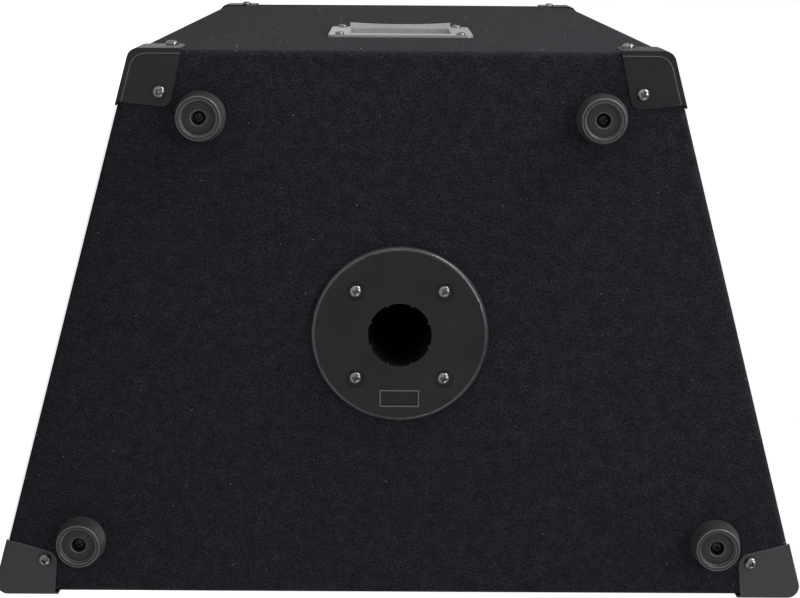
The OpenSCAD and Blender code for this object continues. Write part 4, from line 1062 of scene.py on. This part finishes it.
def makeLabelFrame():
    n = labelSet
    bm = bmesh.new()
    rings = []
    for grow, height in ((n["rim"], -0.0004), (n["rim"], n["height"] * 0.6), (n["rim"] * 0.7, n["height"]),
                         (n["rim"] * 0.3, n["height"]), (0, n["height"] * 0.6), (0, -0.0008)):
        half, tall = n["width"] / 2 + grow, n["tall"] / 2 + grow
        rings.append([
            bm.verts.new(rowPoint(-endX - n["flange"] - height,
                                  cabinet["socketFromFront"] - n["below"] + v * tall, u * half))
            for u, v in ((-1, -1), (1, -1), (1, 1), (-1, 1))
        ])
    for lower, upper in zip(rings, rings[1:] + rings[:1]):
        for i in range(4):
            j = (i + 1) % 4
            bm.faces.new((lower[i], lower[j], upper[j], upper[i]))
    bmesh.ops.recalc_face_normals(bm, faces=bm.faces)
    mesh = meshFrom(bm, "socket_label_frame")
    mesh.materials.append(finishes["edge_painted_highlight"])
    addPiece("socket_label_frame", mesh, "black_plastic", "cabinet")


makeLabelFrame()

# raised bead around the outer corner of each rear protector, in the lighter edge finish as a painted highlight

beadSet = {
    "radius": 0.0007,
    "proud": 0.0004,        # from the carpet's surface to the bead's middle
    "inset": 0.0020,        # from the cabinet's outer edges
    "corner": 0.0080,
    "acrossLeg": 0.0270,
    "alongLeg": 0.0285,
}


def makeBeads():
    tree, given, result = newTree("beadAlongLine", [
        ("Radius", "NodeSocketFloat", 0.0006),
        ("Finish", "NodeSocketMaterial", None),
    ])
    line = addNode(tree, "GeometryNodeMeshToCurve")
    feed(tree, given.outputs["Geometry"], line.inputs["Mesh"])
    ring = addNode(tree, "GeometryNodeCurvePrimitiveCircle")
    ring.inputs["Resolution"].default_value = 8
    feed(tree, given.outputs["Radius"], ring.inputs["Radius"])
    swept = addNode(tree, "GeometryNodeCurveToMesh")
    swept.inputs["Fill Caps"].default_value = True
    feed(tree, line.outputs["Curve"], swept.inputs["Curve"])
    feed(tree, ring.outputs["Curve"], swept.inputs["Profile Curve"])
    endTree(tree, given, result, swept.outputs[0])

    n = beadSet
    slope = math.tan(sideAngle)
    lean = Vector((-1, slope)).normalized()         # along the slanted side, towards the front
    yMiddle = cabinet["depth"] - n["inset"]
    zMiddle = cabinet["frontWidth"] / 2 - yMiddle * slope - n["inset"] / math.cos(sideAngle)
    tip = Vector((yMiddle, zMiddle))
    before, after = tip + Vector((0, -n["corner"])), tip + lean * n["corner"]
    outline = [before + Vector((0, -n["acrossLeg"] + n["corner"]))]
    for i in range(9):
        t = i / 8
        outline.append((1 - t) ** 2 * before + 2 * t * (1 - t) * tip + t ** 2 * after)
    outline.append(after + lean * (n["alongLeg"] - n["corner"]))
    points, edges = [], []
    for end in (-1, 1):
        for side in (-1, 1):
            first = len(points)
            points += [rowPoint(end * (endX + n["proud"]), y, side * z) for y, z in outline]
            edges += [(first + i, first + i + 1) for i in range(len(outline) - 1)]
    lines = bpy.data.meshes.new("beadLines")
    lines.from_pydata([tuple(point) for point in points], edges, [])
    mesh = grown(tree, lines, "protector_beads", {"Radius": n["radius"], "Finish": finishes["edge_painted_highlight"]})
    addPiece("protector_beads", mesh, "black_plastic", "cabinet")


makeBeads()
print("stage: protector beads")

# ribbed sleeve on each grip

gripSet = {
    "ribPitch": 0.0075,
    "ribWidth": 0.0034,
    "ribHeight": 0.0009,
    "endGap": 0.006,
}


def makeGripRibs():
    g = gripSet
    low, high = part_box("handle_grips")
    radius = gripRadius
    half = g["ribWidth"] / 2
    bm = bmesh.new()
    lathe(bm, [(radius - 0.0004, -half), (radius + g["ribHeight"] * 0.6, -half * 0.8),
               (radius + g["ribHeight"], -half * 0.35), (radius + g["ribHeight"], half * 0.35),
               (radius + g["ribHeight"] * 0.6, half * 0.8), (radius - 0.0004, half)], 30)
    first = bm.verts[:]
    loops = [first[:30], first[-30:]]
    for i in range(30):
        j = (i + 1) % 30
        bm.faces.new((loops[0][j], loops[0][i], loops[1][i], loops[1][j]))
    bmesh.ops.recalc_face_normals(bm, faces=bm.faces)
    rib = prototype("gripRib", bm, 60)
    count = int((high.x - low.x - 2 * g["endGap"]) / g["ribPitch"])
    start = (low.x + high.x) / 2 - g["ribPitch"] * (count - 1) / 2
    places, facings = [], []
    for middle in gripCentres:
        for i in range(count):
            places.append(Vector((start + i * g["ribPitch"], middle.y, middle.z)))
            facings.append(Vector((1, 0, 0)))
    mesh = grown(onPointsTree, pointMesh("grip_ribs", places, facings), "grip_ribs", {
        "Piece": rib, "Size": 1.0, "Finish": finishes["rubber"], "Seed": 1,
    })
    addPiece("grip_ribs", mesh, "rubber", "cabinet")


makeGripRibs()
print("stage: label frame and grips")

# perforated grille

grilleSet = {
    "pitch": 0.0105,
    "hole": 0.0074,
    "thick": 0.0013,
    "front": 0.003,         # the sheet's face behind the front edge
    "sheet": 0.0015,
    "margin": 0.013,        # plain metal around the holes
}


def makeCell():
    # one hexagon of sheet with a round hole, to be set side by side
    pitch, radius, half = grilleSet["pitch"], grilleSet["hole"] / 2, grilleSet["thick"] / 2
    bm = bmesh.new()
    sides = []
    for z in (half, -half):
        corners = [bm.verts.new((pitch / math.sqrt(3) * math.cos(math.radians(60 * i + 30)),
                                 pitch / math.sqrt(3) * math.sin(math.radians(60 * i + 30)), z)) for i in range(6)]
        edge = [bm.verts.new((radius * math.cos(math.radians(30 * i + 30)),
                              radius * math.sin(math.radians(30 * i + 30)), z)) for i in range(12)]
        sides.append((corners, edge))
        for i in range(6):
            j = (i + 1) % 6
            for trio in ((corners[i], edge[2 * i + 1], edge[2 * i]),
                         (corners[i], corners[j], edge[2 * i + 1]),
                         (corners[j], edge[(2 * i + 2) % 12], edge[2 * i + 1])):
                bm.faces.new(trio if z > 0 else trio[::-1])
    for i in range(12):
        j = (i + 1) % 12
        bm.faces.new((sides[0][1][i], sides[0][1][j], sides[1][1][j], sides[1][1][i]))
    return prototype("grilleCell", bm, 35)


def makeSheetTree():
    tree, given, result = newTree("perforatedSheet", [
        ("Cell", "NodeSocketObject", None),
        ("Pitch", "NodeSocketFloat", 0.01),
        ("Columns", "NodeSocketInt", 10),
        ("Rows", "NodeSocketInt", 10),
        ("Finish", "NodeSocketMaterial", None),
    ])
    across = given.outputs["Pitch"]
    rowStep = math2(tree, "MULTIPLY", across, math.sqrt(3))
    both = addNode(tree, "GeometryNodeJoinGeometry")
    for shift in (0, 1):
        field = addNode(tree, "GeometryNodeMeshGrid")
        columns = math2(tree, "SUBTRACT", given.outputs["Columns"], shift)
        rows = math2(tree, "SUBTRACT", given.outputs["Rows"], shift)
        feed(tree, columns, field.inputs["Vertices X"])
        feed(tree, rows, field.inputs["Vertices Y"])
        feed(tree, math2(tree, "MULTIPLY", across, math2(tree, "SUBTRACT", columns, 1)), field.inputs["Size X"])
        feed(tree, math2(tree, "MULTIPLY", rowStep, math2(tree, "SUBTRACT", rows, 1)), field.inputs["Size Y"])
        feed(tree, field.outputs["Mesh"], both.inputs[0])
    source = addNode(tree, "GeometryNodeObjectInfo")
    feed(tree, given.outputs["Cell"], source.inputs["Object"])
    placed = addNode(tree, "GeometryNodeInstanceOnPoints")
    feed(tree, both.outputs[0], placed.inputs["Points"])
    feed(tree, source.outputs["Geometry"], placed.inputs["Instance"])
    real = addNode(tree, "GeometryNodeRealizeInstances")
    feed(tree, placed.outputs[0], real.inputs[0])
    merged = addNode(tree, "GeometryNodeMergeByDistance")
    merged.inputs["Distance"].default_value = 0.00005
    feed(tree, real.outputs[0], merged.inputs["Geometry"])
    endTree(tree, given, result, merged.outputs[0])
    return tree


def makeGrille():
    g = grilleSet
    low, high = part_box("grille")
    halfLong = (high.x - low.x) / 2
    grillePoints = [toRow.inverted() @ v.co for v in frame["nodes"]["grille"].data.vertices]
    halfAcross = max(p.z for p in grillePoints)
    openLong, openAcross = halfLong - g["margin"], halfAcross - g["margin"]
    sheetFrame = toRow @ Matrix.Translation(((low.x + high.x) / 2 - place.x, g["front"] + g["sheet"] / 2, 0)) \
        @ Matrix.Rotation(math.pi / 2, 4, "X")
    empty = bpy.data.meshes.new("grilleStart")
    empty.from_pydata([(0, 0, 0)], [], [])
    mesh = grown(makeSheetTree(), empty, "grille_mesh", {
        "Cell": makeCell(), "Pitch": g["pitch"], "Finish": finishes["black_steel"],
        "Columns": int(2 * openLong / g["pitch"]) + 2,
        "Rows": int(2 * openAcross / (g["pitch"] * math.sqrt(3))) + 2,
    })
    mesh.transform(sheetFrame)
    addPiece("grille_mesh", mesh, "black_steel", "cabinet", ["grille"])
    hole = blockMesh((-openLong, -openAcross, -0.002), (openLong, openAcross, 0.002))
    hole.transform(sheetFrame)
    bmesh.ops.recalc_face_normals(hole, faces=hole.faces)
    border = meshFrom(cutAway(mergedCopy("grille"), [hole]), "grille_border")
    border.materials.clear()
    addPiece("grille_border", border, "black_steel", "cabinet", ["grille"])


makeGrille()
print("stage: grille")

# the woofer's roll, in sectors

rollSet = {
    "sectors": 16,
    "steps": 6,             # for each sector
    "radius": 0.0095,
    "middle": 0.1585,
    "height": 0.003,
    "coneLip": (0.1432, -0.0010),
    "lipOut": 0.1800,
    "lipHeight": 0.0055,
    "thick": 0.0009,
    "still": 0.1645,        # from here outwards nothing moves
    "moving": 0.1500,       # from here inwards all of it follows the cone
}


def makeRoll():
    r = rollSet
    low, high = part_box("woofer_surround")
    centreX = (low.x + high.x) / 2
    wooferFrame = toRow @ Matrix.Translation((centreX - place.x, cabinet["baffleInset"], 0)) \
        @ Matrix.Rotation(math.pi / 2, 4, "X")
    inner, outer = r["middle"] - r["radius"], r["middle"] + r["radius"]
    profile = [r["coneLip"], (inner - 0.0008, r["coneLip"][1]), (inner, r["coneLip"][1] + 0.0008),
               (inner, r["height"] - 0.001)]
    profile += [(r["middle"] - r["radius"] * math.cos(math.pi * i / 14),
                 r["height"] + r["radius"] * math.sin(math.pi * i / 14)) for i in range(15)]
    profile += [(outer, r["lipHeight"] - 0.0008), (outer + 0.0008, r["lipHeight"]), (r["lipOut"], r["lipHeight"])]
    span = 2 * math.pi / r["sectors"]
    for number in range(r["sectors"]):
        bm = bmesh.new()
        rows = []
        for step in range(r["steps"] + 1):
            angle = span * (number + step / r["steps"] - 0.5)
            rows.append([bm.verts.new(wooferFrame @ Vector((radius * math.cos(angle), radius * math.sin(angle), w)))
                         for radius, w in profile])
        for first, second in zip(rows, rows[1:]):
            for i in range(len(profile) - 1):
                bm.faces.new((first[i], first[i + 1], second[i + 1], second[i]))
        mesh = meshFrom(bm, "woofer_roll", 50)
        piece = bpy.data.objects.new("woofer_roll_" + str(number + 1), mesh)
        bpy.context.scene.collection.objects.link(piece)
        mesh.materials.append(finishes["cloth"])
        wall = piece.modifiers.new("wall", "SOLIDIFY")
        wall.thickness = r["thick"]
        wall.offset = 0
        piece.data = applied(piece)
        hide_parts("woofer_surround")
        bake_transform(piece)


makeRoll()
print("stage: woofer roll")

# stray fibres on the carpet


def makeLint():
    tree, given, result = newTree("fibresOnCarpet", [
        ("Fibre", "NodeSocketObject", None),
        ("Density", "NodeSocketFloat", 100.0),
        ("Finish", "NodeSocketMaterial", None),
        ("Seed", "NodeSocketInt", 21),
    ])
    spread = addNode(tree, "GeometryNodeDistributePointsOnFaces", distribute_method="RANDOM")
    feed(tree, given.outputs["Geometry"], spread.inputs["Mesh"])
    feed(tree, given.outputs["Density"], spread.inputs["Density"])
    feed(tree, given.outputs["Seed"], spread.inputs["Seed"])
    source = addNode(tree, "GeometryNodeObjectInfo")
    feed(tree, given.outputs["Fibre"], source.inputs["Object"])
    turned = spunAbout(tree, spread.outputs["Rotation"], given.outputs["Seed"], 2 * math.pi)
    size = addNode(tree, "FunctionNodeRandomValue", data_type="FLOAT")
    size.inputs["Min"].default_value = 0.4
    size.inputs["Max"].default_value = 1.3
    feed(tree, given.outputs["Seed"], size.inputs["Seed"])
    placed = addNode(tree, "GeometryNodeInstanceOnPoints")
    feed(tree, spread.outputs["Points"], placed.inputs["Points"])
    feed(tree, source.outputs["Geometry"], placed.inputs["Instance"])
    feed(tree, turned, placed.inputs["Rotation"])
    feed(tree, size.outputs["Value"], placed.inputs["Scale"])
    endTree(tree, given, result, placed.outputs[0])

    bm = bmesh.new()
    length, thick = carpetSet["lintLength"], carpetSet["lintThick"]
    rings = []
    for i in range(5):
        along = length * (i / 4 - 0.5)
        bend = length * 0.18 * math.sin(math.pi * i / 4)
        rings.append([bm.verts.new((along, bend + thick * u, thick * (1 + v)))
                      for u, v in ((-1, -1), (1, -1), (0, 1))])
    for lower, upper in zip(rings, rings[1:]):
        for i in range(3):
            j = (i + 1) % 3
            bm.faces.new((lower[i], lower[j], upper[j], upper[i]))
    bm.faces.new(rings[0][::-1])
    bm.faces.new(rings[-1])
    bmesh.ops.recalc_face_normals(bm, faces=bm.faces)
    fibre = prototype("strayFibre", bm, 80)
    carpet = bpy.data.objects["carpet_wrap"].data.copy()
    mesh = grown(tree, carpet, "stray_fibres", {
        "Fibre": fibre, "Density": carpetSet["lintDensity"], "Finish": finishes["lint"], "Seed": 21,
    })
    addPiece("stray_fibres", mesh, "carpet", "cabinet")


makeLint()
print("stage: stray fibres")

for used in prototypes:
    bpy.data.objects.remove(used)
